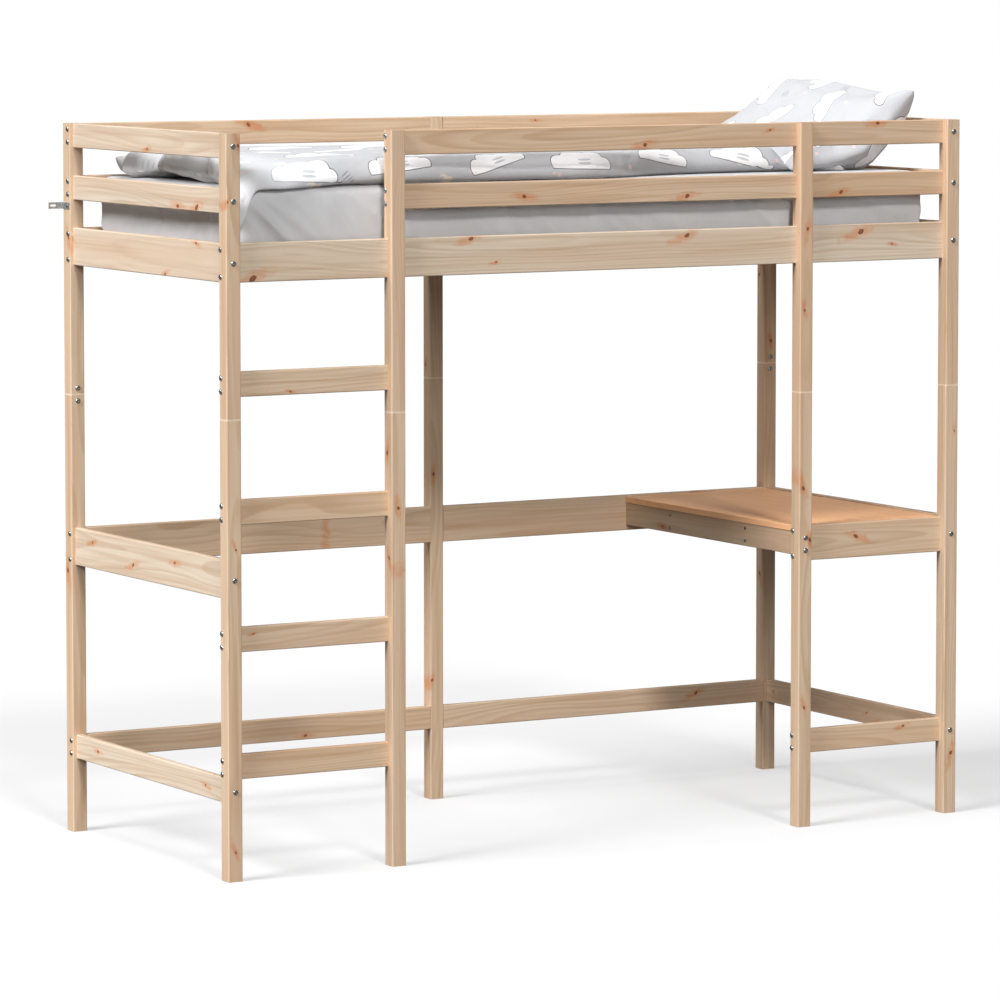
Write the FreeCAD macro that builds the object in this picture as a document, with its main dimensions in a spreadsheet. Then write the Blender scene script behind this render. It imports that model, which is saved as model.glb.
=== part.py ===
import FreeCAD, Part
import math
import os
import Sketcher

# A high single bed over a desk: seven square posts joined by flat boards, bolted with barrel nuts.
# Places are written in bed coordinates: X to the right from the left posts' outer face, Y to the
# back from the front posts' outer face, Z up from the floor. ORIGIN_X and ORIGIN_Y then move
# everything so that the document's origin is under the middle of the whole bed.

DIMENSIONS = {
    "bed_length": 2080,
    "bed_depth": 885,
    "post_side": 38,
    "post_height": 1766,
    "seam_height": 1094,
    "seam_chamfer": 0.6,
    "edge_radius": 3,
    "ladder_gap": 403,
    "desk_gap": 403,
    "rail_thick": 18,
    "rail_narrow": 60,
    "rail_wide": 93,
    "bottom_base": 183.5,
    "middle_base": 669,
    "bed_base": 1415,
    "guard_base": 1577,
    "rung_step": 302,
    "pitch_narrow": 32,
    "pitch_wide": 64,
    "bolt_radius": 3,
    "bolt_hole": 3.25,
    "bolt_past_nut": 6,
    "bolt_hole_depth": 47,
    "head_radius": 6.5,
    "head_height": 3.4,
    "head_round": 2.6,
    "socket_across": 4,
    "socket_depth": 2,
    "nut_radius": 5,
    "nut_length": 13,
    "nut_thread": 3.1,
    "nut_slot_length": 8,
    "nut_slot_width": 1.2,
    "nut_slot_depth": 1,
    "nut_hole": 5.1,
    "nut_hole_depth": 16,
    "nut_inset": 35,
    "tenon_side": 18,
    "tenon_length": 90,
    "mortise_side": 18.4,
    "mortise_depth": 46,
    "seam_bolt_step": 16,
    "seam_bolt_length": 26,
    "desk_top": 758,
    "desk_thick": 15,
    "desk_side_x": 1611,
    "desk_overhang": 2.5,
    "desk_clearance": 0.5,
    "desk_edge_radius": 1.5,
    "batten_front_y": 265,
    "batten_back_y": 625,
    "screw_radius": 2,
    "screw_hole": 2.05,
    "screw_head_radius": 4,
    "screw_head_height": 2.2,
    "screw_head_round": 1.6,
    "screw_socket": 2.5,
    "screw_socket_depth": 1.2,
    "batten_bite": 27,
    "ledger_bite": 14,
    "bracket_bite": 30,
    "screw_tip_room": 1,
    "ledger_width": 24,
    "ledger_height": 30,
    "ledger_base": 1428,
    "slat_width": 70,
    "slat_thick": 18,
    "slat_pitch": 136,
    "slat_end_gap": 2,
    "bracket_width": 16,
    "bracket_thick": 2,
    "bracket_height": 1562,
    "bracket_wall_leg": 38,
    "bracket_post_leg": 40,
    "bracket_screw_inset": 9,
    "slot_length": 16,
    "slot_width": 5,
    "slot_tip_inset": 4,
    "soft_gap": 0.3,
    "mattress_length": 1950,
    "mattress_width": 780,
    "mattress_thick": 160,
    "mattress_corner": 20,
    "mattress_edge": 12,
    "duvet_length": 1754,
    "duvet_width": 784,
    "duvet_thick": 62,
    "duvet_pressed": 16,
    "duvet_edge": 24,
    "duvet_inset": 6,
    "pillow_width": 660,
    "pillow_left": 1620,
    "pillow_base_right": 1950,
    "pillow_right": 2047,
    "pillow_right_low": 1745,
    "pillow_top_left": 1975,
    "pillow_top": 1858,
    "pillow_left_top": 1750,
    "pillow_edge": 22,
}

SLAT_COUNT = 15
RUNG_COUNT = 4

BED_MIDDLE_X = "Dim.bed_length / 2"
BED_MIDDLE_Y = "Dim.bed_depth / 2"
# Bolt heads stand out on the right, and the wall bracket's leg on the left. The heads on the
# front and back balance each other.
ORIGIN_X = "(Dim.bed_length + Dim.head_height - Dim.bracket_wall_leg) / 2"
ORIGIN_Y = BED_MIDDLE_Y

# Long boards lie flush with the posts' inner faces, and end boards in the middle of the posts.
FRONT_Y = "Dim.post_side - Dim.rail_thick / 2"
BACK_Y = f"Dim.bed_depth - ({FRONT_Y})"
LONG_RAIL_SHIFT = "(Dim.post_side - Dim.rail_thick) / 2"
INNER_LENGTH = "(Dim.bed_length - 2 * Dim.post_side)"
INNER_DEPTH = "(Dim.bed_depth - 2 * Dim.post_side)"
BED_TOP = "(Dim.bed_base + Dim.rail_wide)"
DESK_FRONT_HEIGHT = "(Dim.desk_top - Dim.middle_base)"
BATTEN_Z = "(Dim.desk_top - Dim.desk_thick - Dim.rail_narrow / 2)"
DESK_SIDE_MIDDLE_X = "(Dim.desk_side_x + Dim.rail_thick / 2)"
SLAT_BASE = "(Dim.ledger_base + Dim.ledger_height)"
MATTRESS_BASE = f"({SLAT_BASE} + Dim.slat_thick + Dim.soft_gap)"
MATTRESS_TOP = f"({MATTRESS_BASE} + Dim.mattress_thick)"
DUVET_LEFT = f"({BED_MIDDLE_X} - Dim.mattress_length / 2 + Dim.duvet_inset)"
DUVET_RIGHT = f"({DUVET_LEFT} + Dim.duvet_length)"
BEDDING_BASE = f"({MATTRESS_TOP} + Dim.soft_gap)"

# Left face of each post, and whether it stands in the front or the back row.
POSTS = {
    "front_left": ("0", "front"),
    "ladder": ("Dim.post_side + Dim.ladder_gap", "front"),
    "desk": ("Dim.bed_length - 2 * Dim.post_side - Dim.desk_gap", "front"),
    "front_right": ("Dim.bed_length - Dim.post_side", "front"),
    "back_left": ("0", "back"),
    "back_middle": ("(Dim.bed_length - Dim.post_side) / 2", "back"),
    "back_right": ("Dim.bed_length - Dim.post_side", "back"),
}
CORNER_POSTS = ("front_left", "front_right", "back_left", "back_right")
# The side on which the two bolts of the seam go in: 1 is the back, -1 the front.
SEAM_SIDES = {name: -1 if name in ("back_left", "back_right") else 1 for name in POSTS}

# Middle height, board height and bolt pitch of each level.
LEVELS = {
    "top_guard": ("Dim.post_height - Dim.rail_narrow / 2", "Dim.rail_narrow", "Dim.pitch_narrow"),
    "lower_guard": ("Dim.guard_base + Dim.rail_narrow / 2", "Dim.rail_narrow", "Dim.pitch_narrow"),
    "bed_rail": ("Dim.bed_base + Dim.rail_wide / 2", "Dim.rail_wide", "Dim.pitch_wide"),
    "middle_rail": ("Dim.middle_base + Dim.rail_wide / 2", "Dim.rail_wide", "Dim.pitch_wide"),
    "front_rail": (f"Dim.middle_base + {DESK_FRONT_HEIGHT} / 2", DESK_FRONT_HEIGHT, "Dim.pitch_wide"),
    "bottom_rail": ("Dim.bottom_base + Dim.rail_narrow / 2", "Dim.rail_narrow", "Dim.pitch_narrow"),
}
for rung in range(1, RUNG_COUNT + 1):
    rung_middle = f"{BED_TOP} - {rung} * Dim.rung_step - Dim.rail_narrow / 2"
    LEVELS[f"rung_{rung}"] = (rung_middle, "Dim.rail_narrow", "Dim.pitch_narrow")

GUARDS = ["top_guard", "lower_guard"]
RUNGS = [f"rung_{rung}" for rung in range(1, RUNG_COUNT + 1)]
ALL_ROUND = GUARDS + ["bed_rail", "middle_rail", "bottom_rail"]
# Each bay's left post, right post and boards.
BAYS = {
    "ladder": ("front_left", "ladder", ["bed_rail"] + RUNGS),
    "front": ("ladder", "desk", GUARDS + ["bed_rail"]),
    "desk": ("desk", "front_right", GUARDS + ["bed_rail", "front_rail", "bottom_rail"]),
    "back_left": ("back_left", "back_middle", ALL_ROUND),
    "back_right": ("back_middle", "back_right", ALL_ROUND),
}
# Where along a bed rail its ledger screws sit, as parts of the rail's length.
SHORT_RAIL_SCREWS = (-1 / 4, 1 / 4)
LONG_RAIL_SCREWS = (-3 / 8, -1 / 8, 1 / 8, 3 / 8)

LEFT, RIGHT = FreeCAD.Vector(-1, 0, 0), FreeCAD.Vector(1, 0, 0)
FRONT, BACK = FreeCAD.Vector(0, -1, 0), FreeCAD.Vector(0, 1, 0)
UP = FreeCAD.Vector(0, 0, 1)
QUARTER_TURN = 90
CUT_SHARE = 0.98

document = FreeCAD.newDocument("LoftBed")
sheet = document.addObject("Spreadsheet::Sheet", "Dim")
nodes = []
fasteners = {"frame_bolts": [], "barrel_nuts": [], "post_tenons": [], "wood_screws": []}


def fill_sheet():
    for row, (alias, number) in enumerate(DIMENSIONS.items(), start=1):
        sheet.set(f"A{row}", alias.replace("_", " "))
        sheet.set(f"B{row}", str(number))
        sheet.setAlias(f"B{row}", alias)
    document.recompute()


def value(expression):
    return float(sheet.evalExpression(str(expression)))


# ---- Sketches and features ----

def new_body(name):
    body = document.addObject("PartDesign::Body", name)
    body.Label = name
    return body


def origin_plane(body, role):
    return next(feature for feature in body.Origin.OriginFeatures if feature.Role == role)


def new_sketch(body, name, plane, offset="0"):
    sketch = body.newObject("Sketcher::SketchObject", name)
    sketch.AttachmentSupport = [(origin_plane(body, plane), "")]
    sketch.MapMode = "FlatFace"
    if offset != "0":
        sketch.setExpression("AttachmentOffset.Base.z", offset)
    return sketch


def bind(sketch, kind, name, references, expression):
    index = sketch.addConstraint(Sketcher.Constraint(kind, *references, value(expression)))
    sketch.renameConstraint(index, name)
    sketch.setExpression(f"Constraints.{name}", str(expression))


def bind_point(sketch, name, geometry, point, x, y):
    """Holds a point at (x, y) from the sketch's origin; "0" holds it on the axis."""
    if x == "0":
        sketch.addConstraint(Sketcher.Constraint("PointOnObject", geometry, point, -2))
    else:
        bind(sketch, "DistanceX", f"{name}_x", (-1, 1, geometry, point), x)
    if y == "0":
        sketch.addConstraint(Sketcher.Constraint("PointOnObject", geometry, point, -1))
    else:
        bind(sketch, "DistanceY", f"{name}_y", (-1, 1, geometry, point), y)


def polygon(sketch, corners):
    points = [FreeCAD.Vector(value(x), value(y), 0) for x, y in corners]
    for start, end in zip(points, points[1:] + points[:1]):
        sketch.addGeometry(Part.LineSegment(start, end))
    for index in range(len(corners)):
        following = (index + 1) % len(corners)
        sketch.addConstraint(Sketcher.Constraint("Coincident", index, 2, following, 1))
    for index, (x, y) in enumerate(corners):
        bind_point(sketch, f"corner_{index}", index, 1, x, y)


def rectangle(sketch, width, height):
    right, top = f"({width}) / 2", f"({height}) / 2"
    left, bottom = f"-({width}) / 2", f"-({height}) / 2"
    polygon(sketch, [(left, bottom), (right, bottom), (right, top), (left, top)])


def circles(sketch, centres, radius):
    for index, (x, y) in enumerate(centres):
        centre = FreeCAD.Vector(value(x), value(y), 0)
        geometry = sketch.addGeometry(Part.Circle(centre, UP, value(radius)))
        bind(sketch, "Radius", f"radius_{index}", (geometry,), radius)
        bind_point(sketch, f"centre_{index}", geometry, 3, x, y)


def pad(body, sketch, length, both_ways=False, reverse=False):
    feature = body.newObject("PartDesign::Pad", f"{body.Name}_pad")
    feature.Profile = sketch
    feature.setExpression("Length", str(length))
    feature.Reversed = reverse
    if both_ways:
        feature.SideType = "Symmetric"
    document.recompute()
    return feature


def pocket(body, sketch, length, depth=None, both_ways=False, reverse=False):
    """Cuts the sketch's outlines; depth is how much of the length lies in the material."""
    solid_before = body.Tip.Shape.Volume
    feature = body.newObject("PartDesign::Pocket", f"{body.Name}_pocket")
    feature.Profile = sketch
    feature.setExpression("Length", str(length))
    feature.Reversed = reverse
    if both_ways:
        feature.SideType = "Symmetric"
    document.recompute()
    outline_area = sum(Part.Face(wire).Area for wire in sketch.Shape.Wires)
    removed = solid_before - feature.Shape.Volume
    if removed < CUT_SHARE * outline_area * value(depth or length):
        raise RuntimeError(f"{feature.Name} removes {removed:.1f} cubic mm, which is too little")
    return feature


def round_edges(body, radius, chosen):
    """Fillets the edges of the body's tip for which chosen(edge) is true."""
    base = body.Tip
    names = [f"Edge{index}" for index, edge in enumerate(base.Shape.Edges, start=1) if chosen(edge)]
    feature = body.newObject("PartDesign::Fillet", f"{body.Name}_fillet")
    feature.Base = (base, names)
    feature.setExpression("Radius", radius)
    document.recompute()


def runs_along(axis):
    """Picks straight edges parallel to an axis, given as "X", "Y" or "Z"."""
    others = [other for other in "XYZ" if other != axis]

    def chosen(edge):
        box = edge.BoundBox
        return all(getattr(box, f"{other}Length") < 0.001 for other in others)

    return chosen


def mirror_ends(body, features):
    solid_before = body.Tip.Shape.Volume
    mirrored = body.newObject("PartDesign::Mirrored", f"{body.Name}_mirrored")
    mirrored.Originals = features
    mirrored.MirrorPlane = (origin_plane(body, "YZ_Plane"), [""])
    body.Tip = mirrored
    document.recompute()
    if mirrored.Shape.Volume >= solid_before:
        raise RuntimeError(f"{mirrored.Name} adds no holes")


def place(item, x, y, z, turn=None):
    """Puts an object's own origin at a place in bed coordinates, after turning it."""
    if turn is not None:
        item.Placement = FreeCAD.Placement(FreeCAD.Vector(), turn)
    item.setExpression("Placement.Base.x", f"{x} - {ORIGIN_X}")
    item.setExpression("Placement.Base.y", f"{y} - {ORIGIN_Y}")
    item.setExpression("Placement.Base.z", str(z))


def link(group, master, x, y, z, turn):
    copy = document.addObject("App::Link", f"{master.Name}_copy")
    copy.LinkedObject = master
    place(copy, x, y, z, turn)
    fasteners[group].append(copy)


def compound(name, members):
    group = document.addObject("Part::Compound", name)
    group.Label = name
    group.Links = members
    nodes.append(group)
    return group


def turned(direction):
    """The turn that takes a fastener's head from pointing up to pointing in a direction."""
    return FreeCAD.Rotation(UP, direction)


# ---- Fasteners: each shape is made once and linked wherever it is used ----

def headed_pin(name, head, shank_radius, shank_length):
    """A bolt or screw: the head's seat is at its own origin and the shank points down."""
    head_radius, head_height, head_round, socket_across, socket_depth = head
    body = new_body(name)
    head_sketch = new_sketch(body, f"{name}_head_sketch", "XY_Plane")
    circles(head_sketch, [("0", "0")], head_radius)
    pad(body, head_sketch, head_height)
    top = value(head_height)
    round_edges(body, head_round, lambda edge: edge.BoundBox.ZMin > top / 2)
    shank_sketch = new_sketch(body, f"{name}_shank_sketch", "XY_Plane")
    circles(shank_sketch, [("0", "0")], shank_radius)
    pad(body, shank_sketch, shank_length, reverse=True)
    socket_sketch = new_sketch(body, f"{name}_socket_sketch", "XY_Plane", head_height)
    across_corners = f"{socket_across} / cos(30deg) / 2"
    corners = []
    for corner in range(6):
        angle = 30 + 60 * corner
        x = "0" if angle % 180 == 90 else f"{across_corners} * cos({angle}deg)"
        corners.append((x, f"{across_corners} * sin({angle}deg)"))
    polygon(socket_sketch, corners)
    pocket(body, socket_sketch, socket_depth)
    return body


def barrel_nut():
    """A cross dowel along Y with its threaded hole along X and a turning slot in its open end."""
    body = new_body("barrel_nut_shape")
    sketch = new_sketch(body, "nut_sketch", "XZ_Plane")
    circles(sketch, [("0", "0")], "Dim.nut_radius")
    pad(body, sketch, "Dim.nut_length", both_ways=True)
    thread = new_sketch(body, "nut_thread_sketch", "YZ_Plane")
    circles(thread, [("0", "0")], "Dim.nut_thread")
    narrowest = "2 * sqrt(Dim.nut_radius * Dim.nut_radius - Dim.nut_thread * Dim.nut_thread)"
    pocket(body, thread, "4 * Dim.nut_radius", narrowest, both_ways=True)
    slot = new_sketch(body, "nut_slot_sketch", "XZ_Plane", "-Dim.nut_length / 2")
    rectangle(slot, "Dim.nut_slot_length", "Dim.nut_slot_width")
    pocket(body, slot, "Dim.nut_slot_depth", reverse=True)
    return body


def tenon():
    """A square stick that joins two post halves, with a cross hole above and below the seam."""
    body = new_body("tenon_shape")
    sketch = new_sketch(body, "tenon_sketch", "XY_Plane")
    rectangle(sketch, "Dim.tenon_side", "Dim.tenon_side")
    pad(body, sketch, "Dim.tenon_length", both_ways=True)
    holes = new_sketch(body, "tenon_hole_sketch", "XZ_Plane")
    centres = [("0", "Dim.seam_bolt_step"), ("0", "-Dim.seam_bolt_step")]
    circles(holes, centres, "Dim.nut_thread")
    pocket(body, holes, "2 * Dim.tenon_side", "Dim.tenon_side", both_ways=True)
    return body


def stud():
    """A threaded rod along Z that joins two boards end to end through a post."""
    rod = document.addObject("Part::Cylinder", "stud_shape")
    rod.setExpression("Radius", "Dim.bolt_radius")
    rod.setExpression("Height", STUD_LENGTH)
    return rod


BOLT_HEAD = ("Dim.head_radius", "Dim.head_height", "Dim.head_round", "Dim.socket_across", "Dim.socket_depth")
SCREW_HEAD = ("Dim.screw_head_radius", "Dim.screw_head_height", "Dim.screw_head_round",
              "Dim.screw_socket", "Dim.screw_socket_depth")
BOLT_REACH = "(Dim.nut_inset + Dim.bolt_past_nut)"
STUD_LENGTH = f"(Dim.post_side + 2 * {BOLT_REACH})"

fill_sheet()
post_bolt = headed_pin("post_bolt_shape", BOLT_HEAD, "Dim.bolt_radius", f"Dim.post_side + {BOLT_REACH}")
rail_bolt = headed_pin("rail_bolt_shape", BOLT_HEAD, "Dim.bolt_radius", f"Dim.rail_thick + {BOLT_REACH}")
seam_bolt = headed_pin("seam_bolt_shape", BOLT_HEAD, "Dim.bolt_radius", "Dim.seam_bolt_length")
batten_screw = headed_pin("batten_screw_shape", SCREW_HEAD, "Dim.screw_radius",
                          "Dim.rail_thick + Dim.batten_bite")
ledger_screw = headed_pin("ledger_screw_shape", SCREW_HEAD, "Dim.screw_radius",
                          "Dim.ledger_width + Dim.ledger_bite")
bracket_screw = headed_pin("bracket_screw_shape", SCREW_HEAD, "Dim.screw_radius",
                           "Dim.bracket_thick + Dim.bracket_bite")
nut_shape = barrel_nut()
tenon_shape = tenon()
stud_shape = stud()

ALONG_X = FreeCAD.Rotation()
# End boards are turned so that their nut side faces into the bed.
INWARD = {"left": FreeCAD.Rotation(UP, -QUARTER_TURN), "right": FreeCAD.Rotation(UP, QUARTER_TURN)}


# ---- Posts ----

def post_half(name, upper, row, x_bolts, y_bolts, seam_side, bracket_hole):
    """Half of a post, with the middle of the seam at its own origin and the rest above or below."""
    body = new_body(name)
    sketch = new_sketch(body, f"{name}_sketch", "XY_Plane")
    rectangle(sketch, "Dim.post_side", "Dim.post_side")
    length = "Dim.post_height - Dim.seam_height" if upper else "Dim.seam_height"
    pad(body, sketch, length, reverse=not upper)
    round_edges(body, "Dim.edge_radius", runs_along("Z"))

    base = body.Tip
    seam_edges = [f"Edge{index}" for index, edge in enumerate(base.Shape.Edges, start=1)
                  if max(abs(edge.BoundBox.ZMin), abs(edge.BoundBox.ZMax)) < 0.001]
    chamfer = body.newObject("PartDesign::Chamfer", f"{name}_chamfer")
    chamfer.Base = (base, seam_edges)
    chamfer.setExpression("Size", "Dim.seam_chamfer")
    document.recompute()

    mortise = new_sketch(body, f"{name}_mortise_sketch", "XY_Plane")
    rectangle(mortise, "Dim.mortise_side", "Dim.mortise_side")
    pocket(body, mortise, "Dim.mortise_depth", reverse=upper)

    seam_z = "Dim.seam_bolt_step" if upper else "-Dim.seam_bolt_step"
    seam_hole = new_sketch(body, f"{name}_seam_hole_sketch", "XZ_Plane")
    circles(seam_hole, [("0", seam_z)], "Dim.bolt_hole")
    pocket(body, seam_hole, "Dim.post_side", "(Dim.post_side - Dim.mortise_side) / 2",
           reverse=seam_side < 0)

    x_hole_y = LONG_RAIL_SHIFT if row == "front" else f"-{LONG_RAIL_SHIFT}"
    side_centres = [(x_hole_y, f"{z} - Dim.seam_height") for z in x_bolts]
    front_centres = [("0", f"{z} - Dim.seam_height") for z in y_bolts]
    for plane, centres in (("YZ_Plane", side_centres), ("XZ_Plane", front_centres)):
        if centres:
            holes = new_sketch(body, f"{name}_{plane}_hole_sketch", plane)
            circles(holes, centres, "Dim.bolt_hole")
            pocket(body, holes, "2 * Dim.post_side", "Dim.post_side", both_ways=True)

    if bracket_hole:
        hole = new_sketch(body, f"{name}_bracket_hole_sketch", "YZ_Plane", "-Dim.post_side / 2")
        centre_y = f"{BRACKET_SCREW_Y} - Dim.bed_depth + Dim.post_side / 2"
        circles(hole, [(centre_y, "Dim.bracket_height - Dim.seam_height")], "Dim.screw_hole")
        pocket(body, hole, "Dim.bracket_bite + Dim.screw_tip_room", reverse=True)
    return body


BRACKET_SCREW_Y = ("(Dim.bed_depth + Dim.head_height - Dim.bracket_post_leg"
                   " + Dim.bracket_screw_inset)")


def bolt_heights(level):
    middle, _, pitch = LEVELS[level]
    return [f"({middle} - {pitch} / 2)", f"({middle} + {pitch} / 2)"]


def levels_on(post, side):
    """The levels whose board starts (side "right") or ends (side "left") at a post."""
    end = 0 if side == "right" else 1
    return [level for bay in BAYS.values() if bay[end] == post for level in bay[2]]


def post_middle(post):
    x, row = POSTS[post]
    y = "Dim.post_side / 2" if row == "front" else "Dim.bed_depth - Dim.post_side / 2"
    return f"({x} + Dim.post_side / 2)", f"({y})"


def build_post(post):
    x, y = post_middle(post)
    row = POSTS[post][1]
    board_y = f"({FRONT_Y})" if row == "front" else f"({BACK_Y})"
    on_left, on_right = levels_on(post, "left"), levels_on(post, "right")
    x_bolts = [z for level in dict.fromkeys(on_left + on_right) for z in bolt_heights(level)]
    y_bolts = [f"({LEVELS[level][0]})" for level in ALL_ROUND] if post in CORNER_POSTS else []
    if post == "desk":
        y_bolts = desk_side_bolt_heights()

    for upper, half in ((False, "lower"), (True, "upper")):
        def in_this_half(z, upper=upper):
            return (value(z) > value("Dim.seam_height")) == upper

        name = f"post_{post}_{half}"
        body = post_half(name, upper, row, list(filter(in_this_half, x_bolts)),
                         list(filter(in_this_half, y_bolts)), SEAM_SIDES[post],
                         bracket_hole=upper and post == "back_left")
        place(body, x, y, "Dim.seam_height")
        nodes.append(body)

    for level in dict.fromkeys(on_left + on_right):
        for z in bolt_heights(level):
            if level in on_left and level in on_right:
                link("frame_bolts", stud_shape, f"{x} - {STUD_LENGTH} / 2", board_y, z, turned(RIGHT))
            elif level in on_left:
                link("frame_bolts", post_bolt, f"{x} + Dim.post_side / 2", board_y, z, turned(RIGHT))
            else:
                link("frame_bolts", post_bolt, f"{x} - Dim.post_side / 2", board_y, z, turned(LEFT))

    outward = FRONT if row == "front" else BACK
    face_y = "0" if row == "front" else "Dim.bed_depth"
    for z in y_bolts:
        link("frame_bolts", post_bolt, x, face_y, z, turned(outward))

    seam_direction = BACK if SEAM_SIDES[post] > 0 else FRONT
    seam_face = f"{y} + {SEAM_SIDES[post]} * Dim.post_side / 2"
    for sign in (-1, 1):
        seam_z = f"Dim.seam_height + {sign} * Dim.seam_bolt_step"
        link("frame_bolts", seam_bolt, x, seam_face, seam_z, turned(seam_direction))
    link("post_tenons", tenon_shape, x, y, "Dim.seam_height", ALONG_X)


def desk_side_bolt_heights():
    return [f"({BATTEN_Z} - Dim.pitch_narrow / 2)", f"({BATTEN_Z} + Dim.pitch_narrow / 2)"]


# ---- Boards ----

# The bolt hole has already taken some of the wood where the nut's hole crosses it.
NUT_HOLE_LEFT = "Dim.nut_hole_depth - Dim.nut_radius"


def board(name, length, height, end_bolts):
    """A board along X, centred on its own origin, with bolt and nut holes at both ends."""
    body = new_body(name)
    section = new_sketch(body, f"{name}_sketch", "YZ_Plane")
    rectangle(section, "Dim.rail_thick", height)
    pad(body, section, length, both_ways=True)
    round_edges(body, "Dim.edge_radius", runs_along("X"))
    end = new_sketch(body, f"{name}_bolt_sketch", "YZ_Plane", f"({length}) / 2")
    circles(end, [("0", z) for z in end_bolts], "Dim.bolt_hole")
    bolt_holes = pocket(body, end, "Dim.bolt_hole_depth")
    side = new_sketch(body, f"{name}_nut_sketch", "XZ_Plane", "-Dim.rail_thick / 2")
    circles(side, [(f"({length}) / 2 - Dim.nut_inset", z) for z in end_bolts], "Dim.nut_hole")
    nut_holes = pocket(body, side, "Dim.nut_hole_depth", NUT_HOLE_LEFT, reverse=True)
    mirror_ends(body, [bolt_holes, nut_holes])
    nodes.append(body)
    return body


def face_holes(body, centres, radius, depth):
    """Holes drilled into a board from its nut side, its own back face."""
    sketch = new_sketch(body, f"{body.Name}_face_sketch", "XZ_Plane", "-Dim.rail_thick / 2")
    circles(sketch, centres, radius)
    pocket(body, sketch, depth, reverse=True)


def bay_board(bay, level):
    left, right, _ = BAYS[bay]
    middle, height, pitch = LEVELS[level]
    row = POSTS[left][1]
    start = f"({POSTS[left][0]} + Dim.post_side)"
    length = f"({POSTS[right][0]} - {start})"
    centre_x = f"({start} + {length} / 2)"
    y = f"({FRONT_Y})" if row == "front" else f"({BACK_Y})"
    end_bolts = [f"-{pitch} / 2", f"{pitch} / 2"]
    body = board(f"{bay}_{level}", length, height, end_bolts)
    place(body, centre_x, y, middle)
    for end in (-1, 1):
        nut_x = f"{centre_x} + {end} * ({length} / 2 - Dim.nut_inset)"
        for z in bolt_heights(level):
            link("barrel_nuts", nut_shape, nut_x, y, z, ALONG_X)

    if level == "bed_rail":
        fractions = SHORT_RAIL_SCREWS if bay in ("ladder", "desk") else LONG_RAIL_SCREWS
        ledger_screws(body, row, centre_x, middle, [f"{part} * {length}" for part in fractions])
    if (bay, level) == ("back_right", "middle_rail"):
        bolt_x = f"{DESK_SIDE_MIDDLE_X} - {centre_x}"
        centres = [(bolt_x, f"{z} - ({middle})") for z in desk_side_bolt_heights()]
        face_holes(body, centres, "Dim.bolt_hole", "Dim.rail_thick")
        for z in desk_side_bolt_heights():
            link("frame_bolts", rail_bolt, DESK_SIDE_MIDDLE_X, f"{y} + Dim.rail_thick / 2", z,
                 turned(BACK))


def end_board(end, level):
    middle, height, _ = LEVELS[level]
    body = board(f"{end}_end_{level}", INNER_DEPTH, height, ["0"])
    x = "(Dim.post_side / 2)" if end == "left" else "(Dim.bed_length - Dim.post_side / 2)"
    place(body, x, BED_MIDDLE_Y, middle, INWARD[end])
    end_nuts(x, [f"{middle}"], INWARD[end])
    if (end, level) == ("right", "middle_rail"):
        centres = [(f"{y} - {BED_MIDDLE_Y}", f"{z} - ({middle})")
                   for y in ("Dim.batten_front_y", "Dim.batten_back_y")
                   for z in desk_side_bolt_heights()]
        face_holes(body, centres, "Dim.screw_hole", "Dim.rail_thick")


def end_nuts(x, heights, turn):
    for side in (-1, 1):
        y = f"{BED_MIDDLE_Y} + {side} * ({INNER_DEPTH} / 2 - Dim.nut_inset)"
        for z in heights:
            link("barrel_nuts", nut_shape, x, y, z, turn)


# ---- Desk ----

def desk():
    side = board("desk_side_rail", INNER_DEPTH, "Dim.rail_narrow",
                 ["-Dim.pitch_narrow / 2", "Dim.pitch_narrow / 2"])
    # Turned like a left end board, so a place further back is further along its own -X.
    side_centres = [(f"{BED_MIDDLE_Y} - {y}", f"{sign} * Dim.pitch_narrow / 2")
                    for y in ("Dim.batten_front_y", "Dim.batten_back_y") for sign in (-1, 1)]
    face_holes(side, side_centres, "Dim.screw_hole", "Dim.rail_thick")
    place(side, DESK_SIDE_MIDDLE_X, BED_MIDDLE_Y, BATTEN_Z, INWARD["left"])
    end_nuts(DESK_SIDE_MIDDLE_X, desk_side_bolt_heights(), INWARD["left"])

    start = "(Dim.desk_side_x + Dim.rail_thick)"
    right_rail_face = "(Dim.bed_length - (Dim.post_side + Dim.rail_thick) / 2)"
    length = f"({right_rail_face} - {start})"
    batten = batten_shape(length)
    battens = []
    for y in ("Dim.batten_front_y", "Dim.batten_back_y"):
        copy = document.addObject("App::Link", "batten_copy")
        copy.LinkedObject = batten
        place(copy, f"{start} + {length} / 2", y, BATTEN_Z)
        battens.append(copy)
        for z in desk_side_bolt_heights():
            link("wood_screws", batten_screw, "Dim.desk_side_x", y, z, turned(LEFT))
            link("wood_screws", batten_screw, f"{right_rail_face} + Dim.rail_thick", y, z, turned(RIGHT))
    compound("desk_battens", battens)

    top = new_body("desk_board")
    left = "(Dim.desk_side_x - Dim.desk_overhang)"
    width = f"({right_rail_face} - Dim.desk_clearance - {left})"
    sketch = new_sketch(top, "desk_board_sketch", "XY_Plane")
    rectangle(sketch, width, f"{INNER_DEPTH} - 2 * Dim.desk_clearance")
    pad(top, sketch, "Dim.desk_thick")
    thickness = value("Dim.desk_thick")
    round_edges(top, "Dim.desk_edge_radius", lambda edge: edge.BoundBox.ZMin > thickness / 2)
    place(top, f"{left} + {width} / 2", BED_MIDDLE_Y, "Dim.desk_top - Dim.desk_thick")
    nodes.append(top)


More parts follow.
